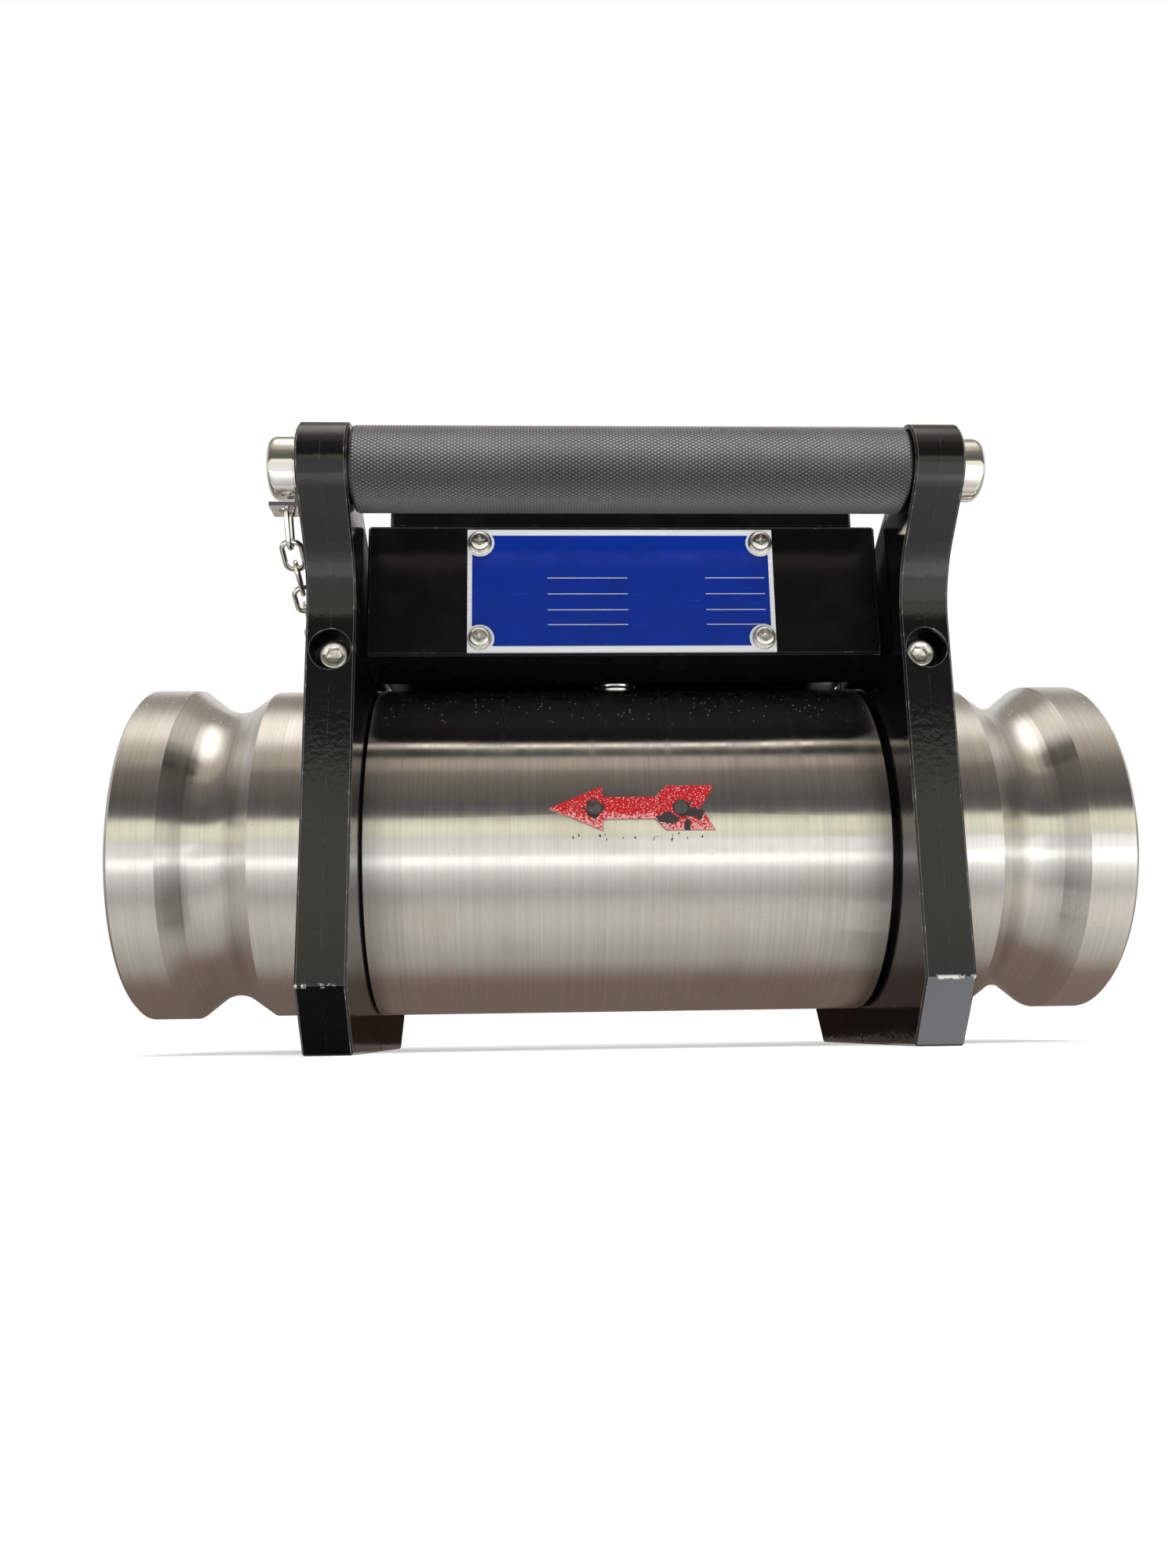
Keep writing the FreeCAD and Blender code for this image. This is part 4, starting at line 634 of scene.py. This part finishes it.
def rounded_rim(radius, bend, steps=6):
    """Profile points round the upper edge of a cylinder, from its side to its top at height 0."""
    return [(radius - bend + x, z - bend) for x, z in oval(quarter_turn(steps), bend, bend)]


def hexagon(reach):
    """Radius of a hexagon with that corner radius, by angle."""
    sixth = math.pi / 3
    return lambda angle: reach * math.cos(sixth / 2) / math.cos(angle % sixth - sixth / 2)


def cross(reach, half_width):
    """Radius of a cross with four arms, by angle."""
    quarter = math.pi / 2

    def radius(angle):
        turn = abs((angle + quarter / 2) % quarter - quarter / 2)
        on_arm = reach / math.cos(turn)
        return min(on_arm, half_width / math.sin(turn)) if turn else on_arm
    return radius


# The knurled handle

KNURL_PITCH_X = 1.48 * MM
KNURL_PITCH_ROUND = 0.90 * MM
KNURL_DEPTH = 0.33 * MM
HANDLE_RELIEF = 0.6 * MM
HANDLE_STEP_RADIUS = 8.0 * MM
HANDLE_CHAMFER = 0.45 * MM


def make_handle():
    """A bar with a real diamond knurl: points and hollows of a pyramid lattice, flat faced."""
    low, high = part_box("handle_bar")
    radius = (high.z - low.z) / 2
    middle = (low + high) / 2
    start = low.x + HANDLE_RELIEF
    end = high.x - HANDLE_RELIEF
    around = 2 * round(FULL_TURN * radius / KNURL_PITCH_ROUND)
    along = 2 * round((end - start) / KNURL_PITCH_X)
    handle = Shape()
    for row in range(along + 1):
        x = start + (end - start) * row / along
        on_rim = row in (0, along)
        for column, angle in enumerate(full_turn(around)):
            hollow = (row + column) % 2
            reach = radius - (HANDLE_CHAMFER if on_rim else KNURL_DEPTH * hollow)
            spoke = Vector((0, math.cos(angle), math.sin(angle)))
            handle.points.append(Vector((x, middle.y, middle.z)) + reach * spoke)
    for row in range(along):
        for column in range(around):
            beside = (column + 1) % around
            corners = (row * around + column, row * around + beside,
                       (row + 1) * around + beside, (row + 1) * around + column)
            turn = (row + column + 1) % 2
            ring = corners[turn:] + corners[:turn]
            handle.faces += [(ring[0], ring[1], ring[2]), (ring[0], ring[2], ring[3])]
    along_x = Matrix.Translation((0, middle.y, middle.z)) @ Matrix.Rotation(math.pi / 2, 4, "Y")
    rim = radius - HANDLE_CHAMFER
    for edge, outer in ((start, low.x), (end, high.x)):
        handle.lathe([(rim, edge), (HANDLE_STEP_RADIUS, edge), (HANDLE_STEP_RADIUS, outer), (0, outer)],
                     along_x, around)
    finish = knurl_metal(middle.y, middle.z, radius - KNURL_DEPTH, radius)
    handle.piece("knurled_handle", finish, ["handle_bar"], flat=True)


# The chain

LINK_WIRE = 0.65 * MM
RING_WIRE = 0.8 * MM
BEND_STEPS = 14
RING_STEPS = 72


def own_axes(points):
    """The middle of a cloud of points, its long, wide and thin directions, and its size along each."""
    offsets = points - points.mean(axis=0)
    directions = numpy.linalg.eigh(offsets.T @ offsets)[1]
    thin, wide, long = (Vector(directions[:, index]) for index in range(3))
    axes = numpy.array([long, wide, thin])
    spread = offsets @ axes.T
    centre = points.mean(axis=0) + axes.T @ ((spread.min(axis=0) + spread.max(axis=0)) / 2)
    return Vector(centre), long, wide, thin, [float(size) for size in numpy.ptp(spread, axis=0)]


def make_chain(finish):
    """Round-wire links, each where its plain CAD link lies."""
    chain = Shape()
    for points in loose_parts("tether_chain"):
        centre, long, wide, thin, size = own_axes(points)
        bend = size[1] / 2 - LINK_WIRE
        straight = size[0] / 2 - LINK_WIRE - bend
        path = []
        for side in (1, -1):
            for step in range(BEND_STEPS + 1):
                turn = math.pi * (step / BEND_STEPS - 0.5)
                along = side * (straight + bend * math.cos(turn))
                path.append(centre + long * along + wide * side * bend * math.sin(turn))
        chain.wire(path, thin, LINK_WIRE)
    chain.piece("chain_links", finish, ["tether_chain"])
    ring = Shape()
    for points in loose_parts("chain_ring"):
        centre, long, wide, thin, size = own_axes(points)
        reach = size[0] / 2 - RING_WIRE
        spokes = [math.cos(turn) * long + math.sin(turn) * wide for turn in full_turn(RING_STEPS)]
        ring.wire([centre + reach * spoke for spoke in spokes], thin, RING_WIRE)
    ring.piece("plain_ring", finish, ["chain_ring"])


# Screws and rivets

# Pan heads with a cross
PAN_RADIUS = 2.6 * MM
PAN_HEIGHT = 1.7 * MM
PAN_SIDE = 0.75 * MM
PAN_EDGE = 0.12 * MM
PAN_SHANK = 1.2 * MM
PAN_LENGTH = 5.0 * MM
PAN_STEPS = 6
PAN_SIDES = 64
CROSS_REACH = 1.35 * MM
CROSS_HALF_WIDTH = 0.36 * MM
CROSS_DEPTH = 1.1 * MM
CROSS_DIP = 0.02 * MM
CROSS_RIM = 1.08
CROSS_TAPER = (0.62, 0.7, 0.8)

# Cap screws with a hexagon; the height of their heads goes by the axis that they lie along
SOCKET_CORNER = 2.1 * MM
SOCKET_MOUTH = 2.5 * MM
SOCKET_LEAD = 0.35 * MM
SOCKET_DEPTH = 2.2 * MM
SOCKET_POINT = 0.5 * MM
HEAD_HEIGHTS = {1: 4.0 * MM, 2: 3.6 * MM}
HEAD_ROUND = 0.8 * MM
HEAD_EDGE = 0.15 * MM
SHANK_RADIUS = 2.0 * MM
SHANK_EDGE = 0.4 * MM

# Rivets
RIVET_HEIGHT = 0.8 * MM
RIVET_SHANK = 1.0 * MM
RIVET_STEPS = 7
RIVET_SIDES = 32
RIVET_DOME = 0.8


def pan_screw(shape, place):
    """A pan head with a cross recess, its top at the place's origin."""
    crown = PAN_HEIGHT - PAN_SIDE
    fall = PAN_RADIUS - CROSS_REACH * CROSS_RIM
    dome = [(PAN_RADIUS - fall + x, z - crown) for x, z in oval(quarter_turn(PAN_STEPS), fall, crown)]
    reach_taper, width_taper, depth_taper = CROSS_TAPER
    recess = [(cross(CROSS_REACH, CROSS_HALF_WIDTH), -CROSS_DIP),
              (cross(CROSS_REACH * reach_taper, CROSS_HALF_WIDTH * width_taper), -CROSS_DEPTH * depth_taper),
              (0, -CROSS_DEPTH)]
    bottom = -PAN_HEIGHT
    foot = [(0, bottom - PAN_LENGTH), (PAN_SHANK, bottom - PAN_LENGTH), (PAN_SHANK, bottom),
            (PAN_RADIUS - PAN_EDGE, bottom), (PAN_RADIUS, bottom + PAN_EDGE)]
    shape.lathe(foot + dome + recess, place, PAN_SIDES)


def socket_screw(shape, place, points, axis):
    """A cap screw with a rounded rim and a hexagon socket, cut to the size of its CAD solid."""
    sizes = numpy.ptp(points, axis=0)
    length = sizes[axis]
    head = max(sizes[(axis + 1) % 3], sizes[(axis + 2) % 3]) / 2
    height = HEAD_HEIGHTS[axis]
    profile = [(0, -length), (SHANK_RADIUS - SHANK_EDGE, -length), (SHANK_RADIUS, -length + SHANK_EDGE),
               (SHANK_RADIUS, -height), (head - HEAD_EDGE, -height), (head, -height + HEAD_EDGE)]
    profile += rounded_rim(head, HEAD_ROUND)
    profile += [(SOCKET_MOUTH, 0), (hexagon(SOCKET_CORNER), -SOCKET_LEAD),
                (hexagon(SOCKET_CORNER), -SOCKET_DEPTH), (0, -SOCKET_DEPTH - SOCKET_POINT)]
    shape.lathe(profile, place)


def make_screws(finish):
    names = Shape()
    for points in loose_parts("nameplate_screws"):
        pan_screw(names, outward_place(points, 1))
    names.piece("plate_screw_heads", finish, ["nameplate_screws"])
    for node, axis in (("upper_clamp_screws", 1), ("lower_clamp_screws", 1), ("cover_screws", 2)):
        screws = Shape()
        for points in loose_parts(node):
            socket_screw(screws, outward_place(points, axis), points, axis)
        screws.piece(node + "_socket", finish, [node])


def make_rivets(finish):
    """Domed rivet heads, slightly flattened where they were struck."""
    rivets = Shape()
    for points in loose_parts("arrow_rivets"):
        width, length, _ = numpy.ptp(points, axis=0)
        head = width / 2
        profile = [(0, -length), (RIVET_SHANK, -length), (RIVET_SHANK, -RIVET_HEIGHT), (head, -RIVET_HEIGHT)]
        for turn in quarter_turn(RIVET_STEPS):
            rise = RIVET_HEIGHT * math.sin(turn)
            profile.append((head * math.cos(turn) ** RIVET_DOME, rise - RIVET_HEIGHT))
        rivets.lathe(profile, outward_place(points, 1), RIVET_SIDES)
    rivets.piece("rivet_heads", finish, ["arrow_rivets"])


# Drops of paint below the arrow

FLECK_SEED = 11
FLECK_COUNT = 16
FLECK_START = 5 * MM
FLECK_DROP = (0.6 * MM, 2.4 * MM)
FLECK_HALF_WIDTH = (0.10 * MM, 0.30 * MM)
FLECK_HALF_HEIGHT = (0.20 * MM, 0.50 * MM)
FLECK_CORNERS = 9
FLECK_REACH = (0.7, 1.1)
FLECK_SINK = 0.15 * MM
FLECK_RISE = 0.03 * MM


def make_flecks(finish):
    """Small dried drops on the pipe just below the arrow."""
    dice = random.Random(FLECK_SEED)
    arrow_low, arrow_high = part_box("flow_arrow")
    flecks = Shape()
    axis_y, axis_z, radius = pipe_round()
    for _ in range(FLECK_COUNT):
        x = dice.uniform(arrow_low.x + FLECK_START, arrow_high.x)
        z = arrow_low.z - dice.uniform(*FLECK_DROP)
        half_width = dice.uniform(*FLECK_HALF_WIDTH)
        half_height = dice.uniform(*FLECK_HALF_HEIGHT)
        outline = []
        for turn in full_turn(FLECK_CORNERS):
            reach = dice.uniform(*FLECK_REACH)
            outline.append((half_width * reach * math.cos(turn), half_height * reach * math.sin(turn)))
        lean = math.asin((z - axis_z) / radius)
        outward = Matrix.Rotation(math.pi / 2 - lean, 4, "X")
        spot = Vector((x, axis_y - radius * math.cos(lean), z))
        flecks.prism(outline, -FLECK_SINK, FLECK_RISE, Matrix.Translation(spot) @ outward)
    flecks.piece("paint_flecks", finish, flat=True)


# The boss under the housing

# Two bright rings round its dark neck, whose darkness is a painted shade: height above its foot, and thickness
BOSS_RINGS = ((0.90 * MM, 0.80 * MM), (2.45 * MM, 0.50 * MM))
RING_FLARE = 0.285
RING_SINK = 0.01 * MM
BOSS_NECK = 0.8 * MM
BOSS_SIDES = 64


def make_boss(dark, bright):
    """A dark boss whose darkness is a painted shade, with two polished rings that flare upwards."""
    low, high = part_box("pickup_boss")
    middle = (low + high) / 2
    radius = (high.x - low.x) / 2
    neck = radius - BOSS_NECK
    length = high.z - low.z
    points = node_points("pickup_boss")
    reach = numpy.hypot(points[:, 0] - middle.x, points[:, 1] - middle.y)
    bore = float(reach.min())
    shoulder = float(points[reach > radius - END_PLAY, 2].max()) - low.z
    thread = float(reach[points[:, 2] > high.z - END_PLAY].max())
    place = Matrix.Translation((middle.x, middle.y, low.z))
    boss = Shape()
    boss.lathe([(bore, 0), (neck, 0), (neck, shoulder), (thread, shoulder), (thread, length), (bore, length),
                (bore, 0)], place, BOSS_SIDES)
    # Dark steel on the boss is a painted shade for the dark recess between the bright rings.
    boss.piece("stepped_boss", dark, ["pickup_boss"])
    rings = Shape()
    inside = neck - RING_SINK
    for height, thickness in BOSS_RINGS:
        top = height + thickness
        foot = radius - RING_FLARE * thickness
        rings.lathe([(inside, height), (foot, height), (radius, top), (inside, top), (inside, height)],
                    place, BOSS_SIDES)
    rings.piece("boss_rings", bright, ["pickup_boss"])


# Buttons, display and nameplate

PRINT_HEIGHT = 0.05 * MM
BUTTON_RADIUS = 4.5 * MM
BUTTON_FLANGE = 1.1 * MM
BUTTON_DISH = 0.45 * MM
BUTTON_ROUND = 0.6 * MM
BUTTON_RIM = 1.4
DISH_STEPS = 6


def make_buttons(finish):
    """Rubber keys with a rounded rim and a dished top, each on its own body."""
    for name in ("left_button", "middle_button", "right_button"):
        low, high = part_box(name)
        middle = (low + high) / 2
        place = Matrix.Translation((middle.x, middle.y, high.z))
        length = high.z - low.z
        flange = BUTTON_RADIUS + BUTTON_FLANGE
        foot = [(0, -length), (flange, -length), (flange, -length + BUTTON_FLANGE),
                (BUTTON_RADIUS, -length + BUTTON_FLANGE)]
        rim = rounded_rim(BUTTON_RADIUS, BUTTON_ROUND)
        inner = BUTTON_RADIUS - BUTTON_RIM * BUTTON_ROUND
        dish = oval(quarter_turn(DISH_STEPS), inner, -BUTTON_DISH)
        button = Shape()
        button.lathe(foot + rim + dish, place)
        button.piece(name + "_key", finish, [name], body=name)


DIGIT_COUNT = 5
DIGIT_WIDTH = 6.4 * MM
DIGIT_HEIGHT = 13.0 * MM
DIGIT_STEP = 9.8 * MM
SEGMENT_WIDTH = 1.3 * MM
SEGMENT_GAP = 0.16 * MM
POINT_AFTER = 3
POINT_RADIUS = 0.8 * MM
POINT_SIDES = 12


def make_digits(finish):
    """Seven-segment noughts on the display, with a point before the last one."""
    low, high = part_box("display_panel")
    middle = (low + high) / 2
    digits = Shape()
    half = DIGIT_HEIGHT / 2
    for index in range(DIGIT_COUNT):
        x = middle.x + (index - (DIGIT_COUNT - 1) / 2) * DIGIT_STEP
        uprights = [(x + side * DIGIT_WIDTH / 2, middle.y + end * half / 2, math.pi / 2, half)
                    for side in (-1, 1) for end in (-1, 1)]
        levels = [(x, middle.y + end * half, 0.0, DIGIT_WIDTH) for end in (-1, 1)]
        for at_x, at_y, turn, length in uprights + levels:
            place = Matrix.Translation((at_x, at_y, high.z)) @ Matrix.Rotation(turn, 4, "Z")
            reach = length / 2 - SEGMENT_GAP
            thick = SEGMENT_WIDTH / 2
            outline = [(-reach, 0), (thick - reach, -thick), (reach - thick, -thick),
                       (reach, 0), (reach - thick, thick), (thick - reach, thick)]
            digits.prism(outline, 0, PRINT_HEIGHT, place)
    point_x = middle.x + (POINT_AFTER - (DIGIT_COUNT - 1) / 2 + 0.5) * DIGIT_STEP
    point = oval(full_turn(POINT_SIDES), POINT_RADIUS, POINT_RADIUS)
    digits.prism(point, 0, PRINT_HEIGHT, Matrix.Translation((point_x, middle.y - half, high.z)))
    digits.piece("display_digits", finish, flat=True)


BORDER_X = 1.2 * MM
BORDER_Y = 1.6 * MM
CORNER_CUT = 3.75 * MM
CORNER_STEPS = 8
RULE_HALF = 0.12 * MM
RULE_MARGIN = 1.2 * MM

# Where the ruled lines run, as shares of the plate from its left and its top
RULE_COLUMNS = ((0.26, 0.52), (0.775, 0.985))
RULE_ROWS = (0.40, 0.53, 0.66, 0.78)


def make_nameplate(blue, metal):
    """A blue printed field, cut round the screws, with bare ruled lines and no words."""
    low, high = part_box("nameplate")
    width = high.x - low.x
    height = high.z - low.z
    face = Matrix.Translation((low.x, low.y, low.z)) @ Matrix.Rotation(math.pi / 2, 4, "X")
    corners = [(x - low.x, z - low.z) for x, z in middles("nameplate_washers")]
    outline = []
    for x_end, y_end in ((0, 0), (1, 0), (1, 1), (0, 1)):
        inward_x = 1 - 2 * x_end
        inward_y = 1 - 2 * y_end
        edge_x = x_end * width + inward_x * BORDER_X
        edge_y = y_end * height + inward_y * BORDER_Y
        near_x, near_y = min(corners, key=lambda spot: abs(spot[0] - edge_x) + abs(spot[1] - edge_y))
        reach_x = math.sqrt(CORNER_CUT ** 2 - (edge_y - near_y) ** 2)
        reach_y = math.sqrt(CORNER_CUT ** 2 - (edge_x - near_x) ** 2)
        on_side = math.atan2(inward_y * reach_y, edge_x - near_x)
        on_level = math.atan2(edge_y - near_y, inward_x * reach_x)
        first, last = (on_side, on_level) if x_end == y_end else (on_level, on_side)
        sweep = (last - first + math.pi) % FULL_TURN - math.pi
        for step in range(CORNER_STEPS + 1):
            turn = first + sweep * step / CORNER_STEPS
            outline.append((near_x + CORNER_CUT * math.cos(turn), near_y + CORNER_CUT * math.sin(turn)))
    field = Shape()
    field.prism(outline, 0, PRINT_HEIGHT, face)
    field.piece("nameplate_field", blue, flat=True)
    rules = Shape()
    for left, right in RULE_COLUMNS:
        for row in RULE_ROWS:
            bottom = height * (1 - row) - RULE_HALF
            top = height * (1 - row) + RULE_HALF
            start = left * width
            end = min(right * width, width - BORDER_X - RULE_MARGIN)
            bar = [(start, bottom), (end, bottom), (end, top), (start, top)]
            rules.prism(bar, 0, 2 * PRINT_HEIGHT, face)
    rules.piece("nameplate_rules", metal, flat=True)


# Studio: what the eye sees is white, and what the steel sees has bands

TENT_RADIUS = 1.3
TENT_HEIGHT = 0.055
TENT_SIDES = 96
TENT_RISES = 45
TENT_SEAM = 0.2
QUARTER = 90.0

# Tints of the light
PALE = (1.0, 1.0, 0.97)
CREAM = (1.0, 0.98, 0.79)
GREY = (1.0, 0.98, 0.95)
SAND = (1.0, 0.95, 0.86)
WARM = (1.0, 0.88, 0.74)
BROWN = (1.0, 0.74, 0.62)

# Light from the dome in front of the object and behind it: degrees above the level, strength and tint
FRONT_BANDS = ((0, 0.9, CREAM), (4.5, 1.1, CREAM), (11.5, 1.1, CREAM), (14.5, 0.14, GREY), (25, 0.12, GREY),
               (45, 0.25, WARM), (49, 0.52, WARM), (60, 0.65, WARM), (68, 1.3, SAND), (74, 2.1, SAND))
BACK_BANDS = ((0, 0.12, WARM), (6, 0.35, SAND), (12, 0.8, GREY), (35, 0.8, GREY), (45, 0.32, WARM),
              (66, 0.4, WARM), (80, 2.2, SAND))

# Light from the floor in reflections: place on Y, strength and tint
FLOOR_BANDS = ((-0.9, 0.93, PALE), (-0.27, 1.0, PALE), (-0.25, 1.65, PALE), (-0.19, 1.7, PALE),
               (-0.15, 1.0, PALE), (-0.08, 0.54, GREY), (-0.06, 0.73, SAND), (-0.045, 0.73, SAND),
               (-0.02, 0.47, SAND), (-0.01, 0.24, BROWN), (0.06, 0.16, BROWN), (0.4, 0.6, GREY))
RAMP_PEAK = 2.4

# The floor: its size and colour, its glow for the eye, and where on X its reflection grows brighter
FLOOR_SIZE = 8.0
FLOOR_COLOR = (0.80, 0.80, 0.80)
FLOOR_GLOW = 0.44
BRIGHT_FLOOR = (0.10, 0.17)
BRIGHT_FLOOR_GAIN = 1.45

# Cards behind the object, under its housing and in front of it: half width, Y and Z of two edges, and light
CARDS = {
    "back_card": (0.25, (0.16, 0.0), (0.16, 0.03), (0.030, 0.018, 0.012)),
    "gap_card": (0.064, (0.034, 0.090), (0.034, 0.106), (0.0, 0.0, 0.0)),
    "handle_card": (0.064, (-0.0440, 0.128), (-0.0520, 0.128), (2.0, 1.8, 1.5)),
}

# Cards just off the toes, and their light
TOE_CARDS = {"left_plate_front": (0.06, 0.055, 0.055), "right_plate_front": (3.4, 3.45, 3.6)}
TOE_CARD_GAP = 0.3 * MM
TOE_CARD_MARGIN = 0.35 * MM

# The sky's light, and one wide lamp
SKY_LIGHT = 0.75
LAMP_PLACE = (0.15, -0.45, 1.0)
LAMP_TARGET = (0, 0, 0.06)
LAMP_SIZE = (0.9, 0.6)
LAMP_WATTS = 11.5


def ramp(finish, value, low, high, bands):
    """A colour that follows a value through bands of light, as a share of RAMP_PEAK."""
    node = finish.node("ValToRGB")
    finish.feed(node.inputs["Fac"], finish.span(value, low, high))
    elements = node.color_ramp.elements
    elements.remove(elements[1])
    for index, (stop, strength, tint) in enumerate(bands):
        spot = (stop - low) / (high - low)
        element = elements.new(spot) if index else elements[0]
        element.position = spot
        element.color = (*(strength / RAMP_PEAK * part for part in tint), 1.0)
    return node.outputs["Color"]


def make_world():
    """White for the eye and for glass, and a soft grey for the light that it sheds."""
    world = bpy.data.worlds.new("white_room")
    bpy.context.scene.world = world
    world.use_nodes = True
    world.cycles.sampling_method = "NONE"
    sky = Nodes(world.node_tree)
    path = sky.node("LightPath")
    seen = sky.math("MAXIMUM", path.outputs["Is Camera Ray"], path.outputs["Is Transmission Ray"])
    shed, white = (sky.light("Background", WHITE, strength) for strength in (SKY_LIGHT, 1.0))
    sky.show("World Output", shed, seen, white)


def stage_mesh(name, points, faces, material):
    mesh = bpy.data.meshes.new(name)
    mesh.from_pydata(points, [], faces)
    mesh.materials.append(material)
    thing = add_object(name, mesh)
    return thing


def only_reflected(thing):
    """Lets a thing show in reflections and nowhere else."""
    for eye in ("camera", "diffuse", "shadow", "transmission"):
        setattr(thing, "visible_" + eye, False)


def make_tent():
    """A dome of pale and dark bands, seen only in reflections, with its own bands behind the object."""
    finish = Finish("tent", WHITE)
    toward = finish.node("VectorMath", operation="NORMALIZE")
    finish.feed(toward.inputs[0], finish.place)
    direction = toward.outputs["Vector"]
    rise = finish.math("DEGREES", finish.math("ARCSINE", finish.part(direction, "Z")))
    front = ramp(finish, rise, 0.0, QUARTER, FRONT_BANDS)
    back = ramp(finish, rise, 0.0, QUARTER, BACK_BANDS)
    both = finish.mix(finish.span(finish.part(direction, "Y"), -TENT_SEAM, TENT_SEAM), front, back)
    finish.show("Material Output", finish.glow(both, RAMP_PEAK))
    dome = Shape()
    dome.lathe(oval(quarter_turn(TENT_RISES), TENT_RADIUS, TENT_RADIUS), segments=TENT_SIDES)
    tent = stage_mesh("tent", dome.points, dome.faces, finish.material)
    tent.location.z = TENT_HEIGHT
    only_reflected(tent)


def make_card(name, corners, color):
    """A plain card that only reflections see, and only from its front."""
    finish = Finish(name, WHITE)
    behind = finish.node("NewGeometry").outputs["Backfacing"]
    clear = finish.node("BsdfTransparent").outputs[0]
    finish.show("Material Output", finish.glow(color, 1.0), behind, clear)
    only_reflected(stage_mesh(name, corners, [(0, 1, 2, 3)], finish.material))


def make_toe_card(node, color):
    """A card along the sloping face of a clamp plate's toe, facing it."""
    low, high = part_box(node)
    bend, sole = toe_line()
    slope = (sole - bend).normalized()
    outward = Vector((0, slope.z, -slope.y)) * TOE_CARD_GAP
    start = bend - slope * TOE_CARD_MARGIN + outward
    end = sole + slope * TOE_CARD_MARGIN + outward
    left = Vector((low.x - TOE_CARD_MARGIN, 0, 0))
    right = Vector((high.x + TOE_CARD_MARGIN, 0, 0))
    make_card(node + "_card", [start + right, end + right, end + left, start + left], color)


def make_cards():
    """Dark cards behind the object and under its housing, a bright one at the handle and one at each toe."""
    for name, (x, first, second, color) in CARDS.items():
        make_card(name, [(-x, *first), (x, *first), (x, *second), (-x, *second)], color)
    for node, color in TOE_CARDS.items():
        make_toe_card(node, color)


def make_floor():
    """A pale floor that keeps the object's shadow, and that reflections see in cross bands."""
    finish = Finish("pale_floor", FLOOR_COLOR, 0.0, 0.9, specular_ior_level=0.0, emission_color=WHITE)
    path = finish.node("LightPath")
    seen = finish.times(path.outputs["Is Camera Ray"], FLOOR_GLOW)
    finish.feed(finish.shader.inputs["Emission Strength"], seen)
    bands = ramp(finish, finish.axis("Y"), FLOOR_BANDS[0][0], FLOOR_BANDS[-1][0], FLOOR_BANDS)
    brighter = finish.span(finish.axis("X"), *BRIGHT_FLOOR, RAMP_PEAK, RAMP_PEAK * BRIGHT_FLOOR_GAIN)
    finish.show("Material Output", finish.shader.outputs[0], path.outputs["Is Glossy Ray"],
                finish.glow(bands, brighter))
    half = FLOOR_SIZE / 2
    points = [(-half, -half, 0), (half, -half, 0), (half, half, 0), (-half, half, 0)]
    stage_mesh("floor", points, [(0, 1, 2, 3)], finish.material)


def make_lamp():
    """One wide lamp above the front, which no reflection shows."""
    lamp = bpy.data.lights.new("key_lamp", "AREA")
    lamp.shape = "RECTANGLE"
    lamp.size, lamp.size_y = LAMP_SIZE
    lamp.energy = LAMP_WATTS
    thing = add_object("key_lamp", lamp)
    thing.location = LAMP_PLACE
    thing.rotation_euler = (Vector(LAMP_TARGET) - Vector(LAMP_PLACE)).to_track_quat("-Z", "Y").to_euler()
    thing.visible_camera = False
    thing.visible_glossy = False


def make_camera():
    camera = bpy.data.cameras.new("photo_camera")
    camera.sensor_fit = "AUTO"
    camera.sensor_width = SENSOR
    camera.lens = SENSOR * FOCAL_PIXELS / max(PHOTO_WIDTH, PHOTO_HEIGHT)
    camera.clip_start = CLIP_START
    thing = add_object("photo_camera", camera)
    thing.location = CAMERA_PLACE
    thing.rotation_euler = [math.radians(turn) for turn in CAMERA_TURN]
    bpy.context.scene.camera = thing


def make_studio():
    make_world()
    make_tent()
    make_cards()
    make_floor()
    make_lamp()
    make_camera()
    bpy.context.scene.view_settings.view_transform = "Standard"


# All the pieces

def dress():
    """Makes the finishes and the small pieces, and paints the CAD pieces by their slots."""
    finishes = [turned_steel(), black_paint(plate_middles(), toe_line()[0]), cover_paint(),
                red_paint(middles("arrow_rivets")), clear_pane(), board_green()]
    finishes += [mottled(name, *recipe) for name, recipe in MOTTLED.items()]
    by_slot = {finish.material.name.split(".")[0]: finish for finish in finishes}
    make_handle()
    make_chain(by_slot["bright_steel"])
    make_screws(by_slot["screw_steel"])
    make_rivets(by_slot["dark_steel"])
    make_boss(by_slot["dark_steel"], by_slot["bright_steel"])
    make_flecks(two_tone("dried_paint", (0.025, 0.010, 0.010), (0.07, 0.02, 0.02), 0.5, (1500, 3.0)))
    make_buttons(by_slot["black_rubber"])
    make_digits(two_tone("digit_ink", (0.014, 0.016, 0.014), (0.03, 0.033, 0.03), 0.4, (700, 3.0)))
    make_nameplate(blue_print(), by_slot["line_metal"])
    for node in NODES.values():
        slot = node.data.materials[0].name.split(".")[0]
        if slot in by_slot:
            node.data.materials[0] = by_slot[slot].material


dress()
make_studio()
